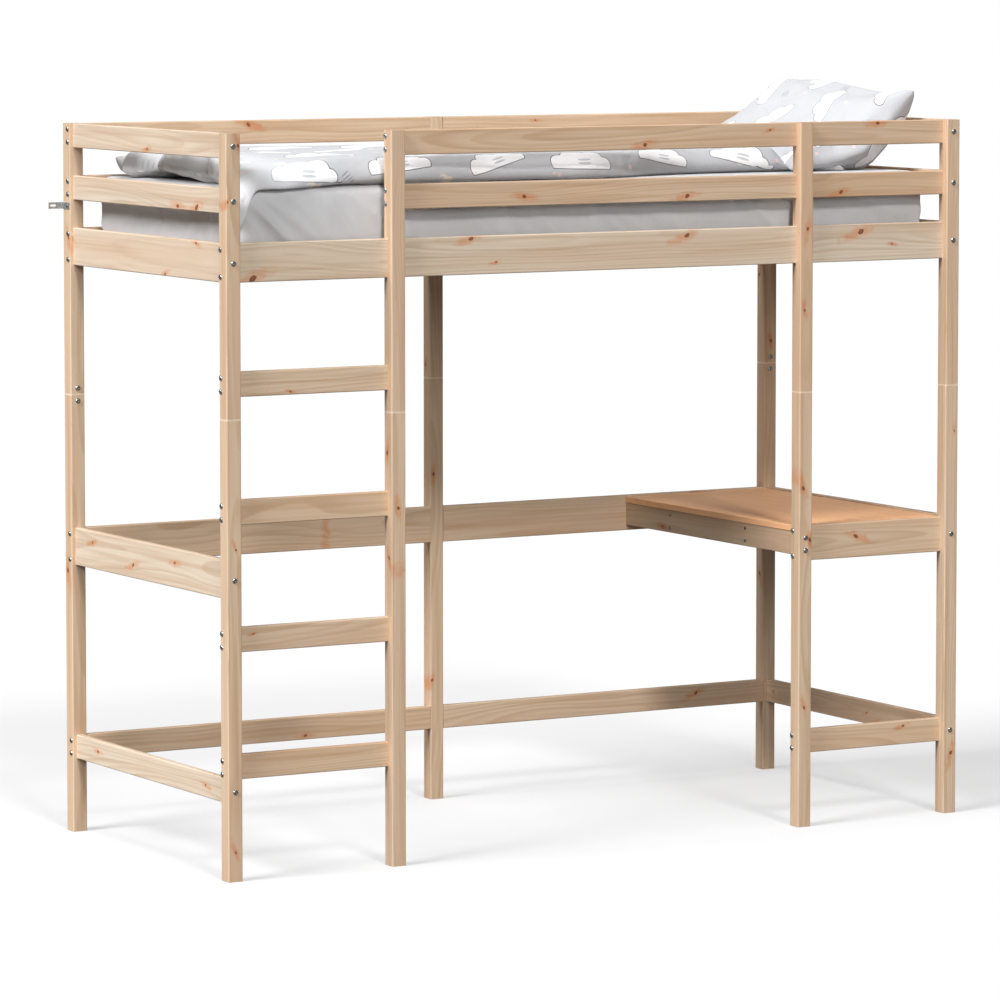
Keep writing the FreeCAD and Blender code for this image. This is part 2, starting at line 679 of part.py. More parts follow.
def batten_shape(length):
    """A cross piece under the desk top, centred on its own origin, with screw holes in its ends."""
    body = new_body("batten_shape")
    section = new_sketch(body, "batten_sketch", "YZ_Plane")
    rectangle(section, "Dim.rail_thick", "Dim.rail_narrow")
    pad(body, section, length, both_ways=True)
    round_edges(body, "Dim.desk_edge_radius", runs_along("X"))
    end = new_sketch(body, "batten_hole_sketch", "YZ_Plane", f"{length} / 2")
    circles(end, [("0", "-Dim.pitch_narrow / 2"), ("0", "Dim.pitch_narrow / 2")], "Dim.screw_hole")
    holes = pocket(body, end, "Dim.batten_bite + Dim.screw_tip_room")
    mirror_ends(body, [holes])
    return body


# ---- Slats and the ledgers that carry them ----

ledger_hole_places = {"front": [], "back": []}


def ledger_screws(rail, row, centre_x, rail_middle, offsets):
    """Drills a bed rail for its ledger, and puts the screws in."""
    z = "(Dim.ledger_base + Dim.ledger_height / 2)"
    centres = [(offset, f"{z} - ({rail_middle})") for offset in offsets]
    if row == "front":
        face_holes(rail, centres, "Dim.screw_hole", "Dim.ledger_bite + Dim.screw_tip_room")
    else:
        sketch = new_sketch(rail, f"{rail.Name}_ledger_sketch", "XZ_Plane", "Dim.rail_thick / 2")
        circles(sketch, centres, "Dim.screw_hole")
        pocket(rail, sketch, "Dim.ledger_bite + Dim.screw_tip_room")
    inner_face = "Dim.post_side + Dim.ledger_width"
    y = inner_face if row == "front" else f"Dim.bed_depth - ({inner_face})"
    direction = BACK if row == "front" else FRONT
    for offset in offsets:
        x = f"({centre_x} + {offset})"
        ledger_hole_places[row].append(x)
        link("wood_screws", ledger_screw, x, y, z, turned(direction))


def ledgers():
    bars = []
    for row, holes in ledger_hole_places.items():
        body = new_body(f"ledger_{row}")
        section = new_sketch(body, f"ledger_{row}_sketch", "YZ_Plane")
        rectangle(section, "Dim.ledger_width", "Dim.ledger_height")
        pad(body, section, f"{INNER_LENGTH} - 2 * Dim.desk_clearance", both_ways=True)
        drilled = new_sketch(body, f"ledger_{row}_hole_sketch", "XZ_Plane")
        circles(drilled, [(f"{x} - {BED_MIDDLE_X}", "0") for x in holes], "Dim.screw_hole")
        pocket(body, drilled, "2 * Dim.ledger_width", "Dim.ledger_width", both_ways=True)
        middle_y = "(Dim.post_side + Dim.ledger_width / 2)"
        y = middle_y if row == "front" else f"Dim.bed_depth - {middle_y}"
        place(body, BED_MIDDLE_X, y, "Dim.ledger_base + Dim.ledger_height / 2")
        bars.append(body)
    compound("slat_ledgers", bars)


def slats():
    pieces = []
    length = f"({INNER_DEPTH} - 2 * Dim.slat_end_gap)"
    for index in range(SLAT_COUNT):
        slat = document.addObject("Part::Box", f"slat_{index + 1}")
        slat.setExpression("Length", "Dim.slat_width")
        slat.setExpression("Width", length)
        slat.setExpression("Height", "Dim.slat_thick")
        from_middle = index - (SLAT_COUNT - 1) / 2
        x = f"{BED_MIDDLE_X} + {from_middle} * Dim.slat_pitch - Dim.slat_width / 2"
        place(slat, x, f"{BED_MIDDLE_Y} - {length} / 2", SLAT_BASE)
        pieces.append(slat)
    compound("bed_slats", pieces)


# ---- Wall bracket ----

def wall_bracket():
    """An L of flat steel: one leg on the post's left face, one against the wall with a slot."""
    body = new_body("wall_bracket")
    outline = new_sketch(body, "bracket_sketch", "XY_Plane")
    thick, wall_leg, post_leg = "Dim.bracket_thick", "Dim.bracket_wall_leg", "Dim.bracket_post_leg"
    polygon(outline, [("0", "0"), (f"-{wall_leg}", "0"), (f"-{wall_leg}", f"-{thick}"),
                      (f"-{thick}", f"-{thick}"), (f"-{thick}", f"-{post_leg}"), ("0", f"-{post_leg}")])
    pad(body, outline, "Dim.bracket_width", both_ways=True)
    slot_sketch = new_sketch(body, "bracket_slot_sketch", "XZ_Plane")
    slot(slot_sketch, f"-{wall_leg} + Dim.slot_tip_inset", "Dim.slot_length", "Dim.slot_width / 2")
    pocket(body, slot_sketch, f"4 * {thick}", thick, both_ways=True)
    hole = new_sketch(body, "bracket_hole_sketch", "YZ_Plane")
    circles(hole, [(f"-{post_leg} + Dim.bracket_screw_inset", "0")], "Dim.screw_hole")
    pocket(body, hole, f"4 * {thick}", thick, both_ways=True)
    place(body, "0", "Dim.bed_depth + Dim.head_height", "Dim.bracket_height")
    nodes.append(body)
    link("wood_screws", bracket_screw, "-Dim.bracket_thick", BRACKET_SCREW_Y, "Dim.bracket_height",
         turned(LEFT))


def slot(sketch, left, length, radius):
    """A slot along the sketch's X axis, from left over its end-to-end length."""
    left_centre, right_centre = f"{left} + {radius}", f"{left} + {length} - {radius}"
    size = value(radius)
    centres = [FreeCAD.Vector(value(x), 0, 0) for x in (left_centre, right_centre)]
    rise = FreeCAD.Vector(0, size, 0)
    sketch.addGeometry(Part.ArcOfCircle(Part.Circle(centres[0], UP, size), math.pi / 2, 3 * math.pi / 2))
    sketch.addGeometry(Part.LineSegment(centres[0] - rise, centres[1] - rise))
    sketch.addGeometry(Part.ArcOfCircle(Part.Circle(centres[1], UP, size), -math.pi / 2, math.pi / 2))
    sketch.addGeometry(Part.LineSegment(centres[1] + rise, centres[0] + rise))
    for first in range(4):
        second = (first + 1) % 4
        sketch.addConstraint(Sketcher.Constraint("Tangent", first, 2, second, 1))
    bind(sketch, "Radius", "slot_radius", (0,), radius)
    bind_point(sketch, "slot_left", 0, 3, left_centre, "0")
    bind_point(sketch, "slot_right", 2, 3, right_centre, "0")


# ---- Mattress and bedding, as plain closed solids ----

def mattress():
    """Made on its own origin: upright corners rounded first, then the top's edges."""
    body = new_body("mattress")
    sketch = new_sketch(body, "mattress_sketch", "XY_Plane")
    rectangle(sketch, "Dim.mattress_length", "Dim.mattress_width")
    pad(body, sketch, "Dim.mattress_thick")
    round_edges(body, "Dim.mattress_corner", runs_along("Z"))
    round_top(body, "Dim.mattress_edge", lambda edge: True)
    place(body, BED_MIDDLE_X, BED_MIDDLE_Y, MATTRESS_BASE)
    nodes.append(body)


def side_outline(name, corners, width):
    """A body made from its side outline in the bed's own X and Z, run across the bed."""
    body = new_body(name)
    outline = new_sketch(body, f"{name}_sketch", "XZ_Plane")
    polygon(outline, corners)
    pad(body, outline, width, both_ways=True)
    place(body, "0", BED_MIDDLE_Y, "0")
    nodes.append(body)
    return body


def round_top(body, radius, chosen):
    """Fillets the chosen ones of the edges that bound the body's highest face."""
    top = body.Shape.BoundBox.ZMax - 0.001
    round_edges(body, radius, lambda edge: edge.BoundBox.ZMin > top and chosen(edge))


def duvet():
    """Full thickness up to the pillow, and pressed thin under it."""
    pressed = f"({BEDDING_BASE} + Dim.duvet_pressed)"
    top = f"({BEDDING_BASE} + Dim.duvet_thick)"
    step_x = "(Dim.pillow_left - Dim.soft_gap)"
    corners = [(DUVET_LEFT, BEDDING_BASE), (DUVET_RIGHT, BEDDING_BASE), (DUVET_RIGHT, pressed),
               (step_x, pressed), (step_x, top), (DUVET_LEFT, top)]
    body = side_outline("duvet", corners, "Dim.duvet_width")
    round_edges(body, "Dim.duvet_edge", runs_along("Z"))
    round_top(body, "Dim.duvet_edge", lambda edge: True)


def pillow():
    """Lies on the duvet's pressed end and leans on the right end."""
    high = f"({BEDDING_BASE} + Dim.duvet_pressed + Dim.soft_gap)"
    step_x = f"({DUVET_RIGHT} + Dim.soft_gap)"
    corners = [("Dim.pillow_left", high), (step_x, high), (step_x, BEDDING_BASE),
               ("Dim.pillow_base_right", BEDDING_BASE),
               ("Dim.pillow_right", "Dim.pillow_right_low"), ("Dim.pillow_right", "Dim.pillow_top"),
               ("Dim.pillow_top_left", "Dim.pillow_top"), ("Dim.pillow_left", "Dim.pillow_left_top")]
    body = side_outline("pillow", corners, "Dim.pillow_width")
    round_top(body, "Dim.pillow_edge", runs_along("Y"))


# ---- The whole bed ----

for post_name in POSTS:
    build_post(post_name)
for bay_name, (_, _, bay_levels) in BAYS.items():
    for bay_level in bay_levels:
        bay_board(bay_name, bay_level)
for end_name in ("left", "right"):
    for end_level in ALL_ROUND:
        end_board(end_name, end_level)
desk()
ledgers()
slats()
wall_bracket()
mattress()
duvet()
pillow()
for group_name, members in fasteners.items():
    compound(group_name, members)
document.recompute()


def check_document():
    for item in document.Objects:
        if "Invalid" in item.State or "Error" in item.State:
            raise RuntimeError(f"{item.Name} did not compute")
    for node in nodes:
        if node.Shape.isNull() or not node.Shape.isValid():
            raise RuntimeError(f"{node.Label} has no valid shape")


check_document()
os.makedirs("parts", exist_ok=True)
for node in nodes:
    node.Shape.exportStep(os.path.join("parts", f"{node.Label}.step"))
whole = Part.makeCompound([node.Shape for node in nodes]).BoundBox
print(f"{len(nodes)} nodes, {sum(len(node.Shape.Solids) for node in nodes)} solids")
print(f"X {whole.XMin:.2f} to {whole.XMax:.2f}, Y {whole.YMin:.2f} to {whole.YMax:.2f}, "
      f"Z {whole.ZMin:.2f} to {whole.ZMax:.2f}")
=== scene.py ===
"""The loft bed's looks: pine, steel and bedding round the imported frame. Metres, in the row frame."""

import math
import random

import bpy
import numpy as np
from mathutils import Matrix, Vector, noise


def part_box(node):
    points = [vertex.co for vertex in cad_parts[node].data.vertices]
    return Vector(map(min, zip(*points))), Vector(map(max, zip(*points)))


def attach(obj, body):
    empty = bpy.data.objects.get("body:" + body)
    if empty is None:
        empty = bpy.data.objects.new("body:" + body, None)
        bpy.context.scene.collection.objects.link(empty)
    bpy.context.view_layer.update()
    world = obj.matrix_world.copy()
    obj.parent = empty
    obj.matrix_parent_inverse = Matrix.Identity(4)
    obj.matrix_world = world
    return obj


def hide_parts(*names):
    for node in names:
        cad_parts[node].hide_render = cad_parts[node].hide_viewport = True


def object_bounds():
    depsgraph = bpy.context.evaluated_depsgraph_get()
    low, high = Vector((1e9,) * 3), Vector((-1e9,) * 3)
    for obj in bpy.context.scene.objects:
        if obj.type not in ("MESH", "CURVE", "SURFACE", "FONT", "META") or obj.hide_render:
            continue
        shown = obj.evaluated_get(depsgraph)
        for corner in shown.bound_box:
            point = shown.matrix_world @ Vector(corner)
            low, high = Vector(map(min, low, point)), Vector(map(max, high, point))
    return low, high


CLOTH_FRAMES = 20
TAU = 2 * math.pi

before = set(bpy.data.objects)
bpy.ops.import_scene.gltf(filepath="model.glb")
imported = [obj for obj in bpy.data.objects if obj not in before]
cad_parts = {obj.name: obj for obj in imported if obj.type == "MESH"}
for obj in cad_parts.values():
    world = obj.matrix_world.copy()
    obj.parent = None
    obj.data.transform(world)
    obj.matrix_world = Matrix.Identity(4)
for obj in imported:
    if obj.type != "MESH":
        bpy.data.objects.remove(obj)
cad_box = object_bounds()
scene = bpy.context.scene


# ---------------------------------------------------------------- node helpers


def srgb(red, green, blue):
    """A colour given as 0..255 screen values, as the linear RGBA that a socket takes."""
    shares = [c / 255 for c in (red, green, blue)]
    linear = [c / 12.92 if c <= 0.04045 else ((c + 0.055) / 1.055) ** 2.4 for c in shares]
    return (*linear, 1.0)


class Nodes:
    """Adds nodes to a tree. Wherever an input is wanted, a socket or a plain value will do."""

    def __init__(self, tree):
        self.tree = tree

    def feed(self, socket, value):
        if isinstance(value, bpy.types.NodeSocket):
            self.tree.links.new(value, socket)
        else:
            socket.default_value = value

    def add(self, kind, inputs=None, **settings):
        node = self.tree.nodes.new(kind)
        for name, value in settings.items():
            setattr(node, name, value)
        for key, value in (inputs or {}).items():
            self.feed(node.inputs[key], value)
        return node

    def math(self, operation, *values):
        node = self.add("ShaderNodeMath", operation=operation)
        for socket, value in zip(node.inputs, values):
            self.feed(socket, value)
        return node.outputs[0]

    def vector(self, operation, *values):
        node = self.add("ShaderNodeVectorMath", operation=operation)
        for socket, value in zip(node.inputs, values):
            self.feed(socket, value)
        return node.outputs["Value" if operation in ("LENGTH", "DOT_PRODUCT") else "Vector"]

    def combine(self, x=0.0, y=0.0, z=0.0):
        return self.add("ShaderNodeCombineXYZ", {0: x, 1: y, 2: z}).outputs[0]

    def split(self, vector):
        return list(self.add("ShaderNodeSeparateXYZ", {0: vector}).outputs)

    def mix(self, factor, first, second, blend="MIX"):
        node = self.add("ShaderNodeMix", data_type="RGBA", blend_type=blend)
        for index, value in ((0, factor), (6, first), (7, second)):
            self.feed(node.inputs[index], value)
        return node.outputs[2]

    def step(self, value, low, high, first=0.0, second=1.0):
        """Goes smoothly from first to second as value goes from low to high."""
        inputs = {"Value": value, "From Min": low, "From Max": high}
        inputs.update({"To Min": first, "To Max": second})
        node = self.add("ShaderNodeMapRange", inputs, interpolation_type="SMOOTHSTEP")
        return node.outputs[0]

    def noise(self, vector, scale=1.0, detail=2.0, roughness=0.5, output="Fac"):
        inputs = {"Vector": vector, "Scale": scale, "Detail": detail, "Roughness": roughness}
        return self.add("ShaderNodeTexNoise", inputs).outputs[output]

    def grain(self, vector, cycles, detail=2.0, roughness=0.5, output="Fac"):
        """Noise with its own number of cycles a metre along each axis."""
        return self.noise(self.vector("MULTIPLY", vector, cycles), 1.0, detail, roughness, output)

    def random(self, value, dimensions="1D", output="Value"):
        key = "W" if dimensions == "1D" else "Vector"
        node = self.add("ShaderNodeTexWhiteNoise", noise_dimensions=dimensions)
        self.feed(node.inputs[key], value)
        return node.outputs[output]

    def ramp(self, value, stops):
        node = self.add("ShaderNodeValToRGB", {0: value})
        elements = node.color_ramp.elements
        while len(elements) < len(stops):
            elements.new(0.5)
        for element, (position, colour) in zip(elements, stops):
            element.position = position
            element.color = colour
        return node.outputs[0]

    def bump(self, height, distance, strength=1.0):
        inputs = {"Height": height, "Distance": distance, "Strength": strength}
        return self.add("ShaderNodeBump", inputs).outputs[0]

    def shader(self, **inputs):
        node = self.add("ShaderNodeBsdfPrincipled")
        for name, value in inputs.items():
            self.feed(node.inputs[name.replace("_", " ")], value)
        self.add("ShaderNodeOutputMaterial", {"Surface": node.outputs[0]})


def new_group(name, inputs, outputs):
    """A shader node group with these sockets; returns its Nodes, its inputs and its output node."""
    tree = bpy.data.node_groups.new(name, "ShaderNodeTree")
    kinds = {"V": "NodeSocketVector", "F": "NodeSocketFloat", "C": "NodeSocketColor"}
    for way, sockets in (("INPUT", inputs), ("OUTPUT", outputs)):
        for socket, kind in sockets.items():
            tree.interface.new_socket(socket, in_out=way, socket_type=kinds[kind])
    nodes = Nodes(tree)
    return nodes, nodes.add("NodeGroupInput").outputs, nodes.add("NodeGroupOutput")


def new_material(name):
    material = bpy.data.materials.new(name)
    material.use_nodes = True
    material.node_tree.nodes.clear()
    return material, Nodes(material.node_tree)


# ------------------------------------------------------------------------ pine

RING = 0.0052
# Cycles of noise a metre: along the grain, across the face, through the board.
WANDER = (1.4, 7.0, 7.0)
WAVER = (6.0, 42.0, 42.0)
FIBRE = (5.0, 330.0, 330.0)
STREAK = (1.6, 60.0, 60.0)
BROAD = (0.9, 13.0, 13.0)
PATCHES = (3.0, 9.0, 9.0)
FLECK = (40.0, 420.0, 420.0)
PINE_PALE = srgb(213, 189, 162)
PINE_LATE = srgb(183, 147, 113)
PINE_PINK = srgb(203, 168, 138)
PINE_GREY = srgb(196, 175, 153)
PINE_WARM = srgb(206, 164, 122)
PINE_RED = srgb(176, 108, 70)
PINE_FLECK = srgb(176, 126, 84)
KNOT_STOPS = [
    (0.0, srgb(104, 54, 32)),
    (0.4, srgb(150, 82, 48)),
    (0.75, srgb(122, 64, 38)),
    (1.0, srgb(74, 38, 24)),
]
KNOT_HALO = srgb(204, 132, 84)
# How much a knot, its halo and the bend of the grain round it are squeezed along the board, so
# that they come out longer than wide, and how far a knot slants and its halo drifts.
KNOT_SQUEEZE = 0.75
HALO_SQUEEZE = 0.27
BEND_SQUEEZE = 0.5
KNOT_SLANT = 0.35
HALO_DRIFT = 2.2
# Painted highlight: a light band along the posts' seam, as if its small chamfer caught the light.
SEAM_HIGHLIGHT_COLOUR = srgb(236, 218, 196)
# The posts' halves meet in the middle of the tenons.
SEAM_HEIGHT = sum(corner.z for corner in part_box("post_tenons")) / 2


def knot_group():
    """A knot that runs through a board: bends the grain round it and gives its masks."""
    sockets = {"Vector": "V", "Centre": "V", "Radius": "F"}
    g, inputs, output = new_group("knot", sockets, {"Vector": "V", "Core": "F", "Halo": "F", "Tone": "F"})
    x, y, z = g.split(inputs["Vector"])
    centre_x, centre_y, lean = g.split(inputs["Centre"])
    radius = inputs["Radius"]
    dx = g.math("SUBTRACT", x, centre_x)
    dy = g.math("SUBTRACT", y, centre_y)
    rough = g.math("SUBTRACT", g.noise(inputs["Vector"], 150.0, 2.0), 0.5)
    slant = g.math("ADD", dy, g.math("MULTIPLY", dx, g.math("MULTIPLY", lean, KNOT_SLANT)))
    round_part = g.vector("LENGTH", g.combine(g.math("MULTIPLY", dx, KNOT_SQUEEZE), slant))
    share = g.math("ADD", g.math("DIVIDE", round_part, radius), g.math("MULTIPLY", rough, 1.1))
    shifted = g.math("SUBTRACT", dx, g.math("MULTIPLY", radius, g.math("MULTIPLY", lean, HALO_DRIFT)))
    patch = g.math("SUBTRACT", g.noise(inputs["Vector"], 60.0, 2.0), 0.5)
    flat = g.vector("LENGTH", g.combine(g.math("MULTIPLY", shifted, HALO_SQUEEZE), slant))
    reach = g.math("ADD", g.math("DIVIDE", flat, radius), g.math("MULTIPLY", patch, 3.4))
    around = g.vector("LENGTH", g.combine(g.math("MULTIPLY", dx, BEND_SQUEEZE), dy))
    bend = g.math("DIVIDE", around, radius)
    pull = g.math("MULTIPLY", g.step(bend, 0.4, 4.2, 1.0, 0.0), 0.85)
    moved = g.math("ADD", centre_y, g.math("MULTIPLY", dy, g.math("SUBTRACT", 1.0, pull)))
    g.feed(output.inputs["Vector"], g.combine(x, moved, z))
    g.feed(output.inputs["Core"], g.step(share, 0.86, 1.12, 1.0, 0.0))
    g.feed(output.inputs["Halo"], g.step(reach, 0.6, 3.5, 1.0, 0.0))
    g.feed(output.inputs["Tone"], share)
    return g.tree


def pine_group():
    """Flat-sawn pine. Vector is (along the grain, across the face, through the board)."""
    sockets = {"Vector": "V", "Place": "V", "Seed": "F", "Warm": "F", "Core": "F", "Halo": "F", "Tone": "F"}
    g, inputs, output = new_group("pine", sockets, {"Color": "C", "Roughness": "F", "Height": "F"})
    seed = inputs["Seed"]
    shift = g.combine(g.math("MULTIPLY", seed, 3.17), g.math("MULTIPLY", seed, 7.71), seed)
    x, y, z = g.split(inputs["Vector"])
    place = g.vector("ADD", inputs["Place"], shift)
    slow = g.grain(place, WANDER, 1.0, output="Color")
    slow_y, slow_z, _ = g.split(g.vector("SUBTRACT", slow, (0.5, 0.5, 0.5)))
    fine = g.math("SUBTRACT", g.grain(place, WAVER), 0.5)
    tilt = g.math("MULTIPLY", g.math("SUBTRACT", g.random(seed), 0.5), 0.045)
    ring_y = g.math("ADD", y, g.math("MULTIPLY", slow_y, 0.055))
    ring_y = g.math("ADD", ring_y, g.math("MULTIPLY", x, tilt))
    ring_y = g.math("ADD", ring_y, g.math("MULTIPLY", fine, 0.006))
    side = g.random(g.math("ADD", seed, 11.3))
    pith_y = g.math("MULTIPLY", g.math("SUBTRACT", side, 0.5), 0.11)
    pith_z = g.math("ADD", g.math("MULTIPLY", g.random(g.math("ADD", seed, 5.9)), 0.06), 0.028)
    ring_y = g.math("SUBTRACT", ring_y, pith_y)
    ring_z = g.math("SUBTRACT", g.math("ADD", z, g.math("MULTIPLY", slow_z, 0.05)), pith_z)
    radius = g.vector("LENGTH", g.combine(ring_y, ring_z))
    count = g.math("DIVIDE", radius, RING)
    part = g.math("FRACT", count)
    late = g.math("MULTIPLY", g.step(part, 0.2, 0.86), g.step(part, 0.9, 1.0, 1.0, 0.0))
    strength = g.math("ADD", g.math("MULTIPLY", g.random(g.math("FLOOR", count)), 0.75), 0.25)
    late = g.math("MULTIPLY", late, strength)

    fibre = g.grain(place, FIBRE, 3.0, 0.6)
    streak = g.grain(place, STREAK, 2.0, 0.55)
    broad = g.grain(place, BROAD, 1.0)
    patch = g.grain(place, PATCHES)
    halo = inputs["Halo"]
    line = g.mix(g.math("MULTIPLY", halo, 0.8), PINE_LATE, PINE_RED)
    share = g.math("MULTIPLY", late, g.math("ADD", 0.55, g.math("MULTIPLY", halo, 0.4)))
    colour = g.mix(share, PINE_PALE, line)
    colour = g.mix(g.step(broad, 0.42, 0.72, 0.0, 0.6), colour, PINE_PINK)
    colour = g.mix(g.step(streak, 0.46, 0.72, 0.0, 0.5), colour, PINE_LATE)
    colour = g.mix(g.step(patch, 0.5, 0.8, 0.0, 0.35), colour, PINE_GREY)
    light = g.math("ADD", g.math("MULTIPLY", fibre, 0.22), 0.9)
    colour = g.mix(1.0, colour, g.combine(light, light, light), "MULTIPLY")
    warm = g.math("MULTIPLY", inputs["Warm"], 0.55)
    colour = g.mix(warm, colour, g.mix(g.math("MULTIPLY", late, 0.5), PINE_WARM, PINE_LATE))
    fleck = g.grain(place, FLECK, 1.0)
    colour = g.mix(g.step(fleck, 0.72, 0.82, 0.0, 0.45), colour, PINE_FLECK)
    colour = g.mix(g.math("MULTIPLY", halo, 0.55), colour, KNOT_HALO)
    knot = g.ramp(g.math("ADD", inputs["Tone"], g.math("MULTIPLY", fine, 0.5)), KNOT_STOPS)
    colour = g.mix(g.math("MULTIPLY", inputs["Core"], 0.92), colour, knot)
    g.feed(output.inputs["Color"], colour)

    rough = g.math("ADD", 0.5, g.math("MULTIPLY", g.math("SUBTRACT", fibre, 0.5), 0.25))
    rough = g.math("SUBTRACT", rough, g.math("MULTIPLY", late, 0.07))
    rough = g.math("SUBTRACT", rough, g.math("MULTIPLY", inputs["Core"], 0.1))
    g.feed(output.inputs["Roughness"], rough)
    height = g.math("ADD", g.math("MULTIPLY", fibre, 0.6), g.math("MULTIPLY", late, 0.35))
    g.feed(output.inputs["Height"], g.math("SUBTRACT", height, g.math("MULTIPLY", inputs["Core"], 0.4)))
    return g.tree


KNOT = knot_group()
PINE = pine_group()
# The axes that run along the grain, across the face and through the board, for each way it lies.
AXES = {
    "front": (0, 2, 1),
    "end": (1, 2, 0),
    "post": (2, 0, 1),
    "flat_x": (0, 1, 2),
    "flat_y": (1, 0, 2),
}


NO_TINT = (1, 1, 1, 1)
# Painted highlight on the left-end boards: paler and cooler, as if washed out by the left light. The bed
# rails listed below get the same tint as a paler tone of their own.
PALE_AND_HIGHLIGHT_TINT = (1.05, 1.17, 1.3, 1)
# Painted light: the desk board's colour is brightened and warmed, standing in for light that the bed above
# keeps off the desk.
DESK_PAINTED_LIGHT = (1.62, 1.36, 1.15, 1)
PALE_BOARDS = ("front_bed_rail", "ladder_bed_rail", "desk_bed_rail")
# The widths of the desk board's glued staves and the slats' spacing.
STAVE = 0.111
SLAT_PITCH = 0.136
# How near the seam the posts' painted highlight stays full, and where it has faded out.
SEAM_HIGHLIGHT_BAND = (0.0016, 0.003)


def board_coordinates(g, node, lay):
    """The point on the board, from its middle: (along the grain, across, through)."""
    low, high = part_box(node)
    place = g.add("ShaderNodeTexCoord").outputs["Object"]
    middle = g.vector("SUBTRACT", place, tuple((low + high) / 2))
    parts = g.split(middle)
    return g.combine(*[parts[axis] for axis in AXES[lay]])


def paint_pine(node, lay, knots, warm, pitch=None, tone_and_light_tint=NO_TINT):
    """Gives a CAD node its own pine. A knot is (along, across, radius, face), the first two as
    shares of the board; face 1 puts it on the narrow face, where across is through the board.
    pitch is the spacing of the separate boards in the node, along its across axis."""
    low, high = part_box(node)
    size = high - low
    spans = [size[axis] for axis in AXES[lay]]
    material, g = new_material("pine_" + node)
    place = board_coordinates(g, node, lay)
    seed = SEEDS[node]
    if pitch:
        across = g.split(place)[1]
        cell = g.math("FLOOR", g.math("DIVIDE", g.math("ADD", across, spans[1] / 2), pitch))
        seed = g.math("ADD", g.math("MULTIPLY", g.random(cell), 40.0), seed)
    vector = place
    core, halo, tone = 0.0, 0.0, 0.0
    for along, across, radius, face in knots:
        span = spans[2] if face else spans[1]
        lean = math.sin(37.0 * along + 11.0 * across)
        centre = ((along - 0.5) * spans[0], (across - 0.5) * span, lean)
        if face:
            vector = swap_faces(g, vector)
        knot = g.add("ShaderNodeGroup", node_tree=KNOT)
        for name, value in (("Vector", vector), ("Centre", centre), ("Radius", radius)):
            g.feed(knot.inputs[name], value)
        vector = knot.outputs["Vector"]
        if face:
            vector = swap_faces(g, vector)
        first = isinstance(core, float)
        tone = knot.outputs["Tone"] if first else g.math("MINIMUM", tone, knot.outputs["Tone"])
        core = knot.outputs["Core"] if first else g.math("MAXIMUM", core, knot.outputs["Core"])
        halo = knot.outputs["Halo"] if first else g.math("MAXIMUM", halo, knot.outputs["Halo"])
    wood = g.add("ShaderNodeGroup", node_tree=PINE)
    feeds = {"Vector": vector, "Place": place, "Seed": seed, "Warm": warm}
    feeds.update({"Core": core, "Halo": halo, "Tone": tone})
    for name, value in feeds.items():
        g.feed(wood.inputs[name], value)
    normal = g.bump(wood.outputs["Height"], 0.0006, 0.5)
    # The tint multiplies the wood's colour; for the desk board and the left-end boards it carries painted
    # light.
    colour = g.mix(1.0, wood.outputs["Color"], tone_and_light_tint, "MULTIPLY")
    # Posts get a painted highlight, a light band at the seam between their halves.
    if lay == "post":
        height = g.split(g.add("ShaderNodeTexCoord").outputs["Object"])[2]
        away = g.math("ABSOLUTE", g.math("SUBTRACT", height, SEAM_HEIGHT))
        colour = g.mix(g.step(away, *SEAM_HIGHLIGHT_BAND, 0.6, 0.0), colour, SEAM_HIGHLIGHT_COLOUR)
    g.shader(
        Base_Color=colour,
        Roughness=wood.outputs["Roughness"],
        Normal=normal,
        Specular_IOR_Level=0.35,
    )
    give(node, material)


def swap_faces(g, vector):
    x, y, z = g.split(vector)
    return g.combine(x, z, y)


def give(node, material):
    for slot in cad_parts[node].material_slots:
        slot.material = material


draw = random.Random(7)
SEEDS = {node: draw.uniform(1, 40) for node in sorted(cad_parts)}


def seeded_knots(node, lay, pieces=1):
    """Small knots at random on a board that shows none in particular."""
    low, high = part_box(node)
    length = (high - low)[AXES[lay][0]]
    chance = random.Random(SEEDS[node])
    count = min(4, int(length * chance.uniform(1.2, 3.4)) + (1 if pieces > 1 else 0))
    rows = []
    for _ in range(count):
        place = (chance.uniform(0.04, 0.96), chance.uniform(0.1, 0.9))
        rows.append((*place, chance.uniform(0.0018, 0.0046), int(chance.random() < 0.3)))
    return rows


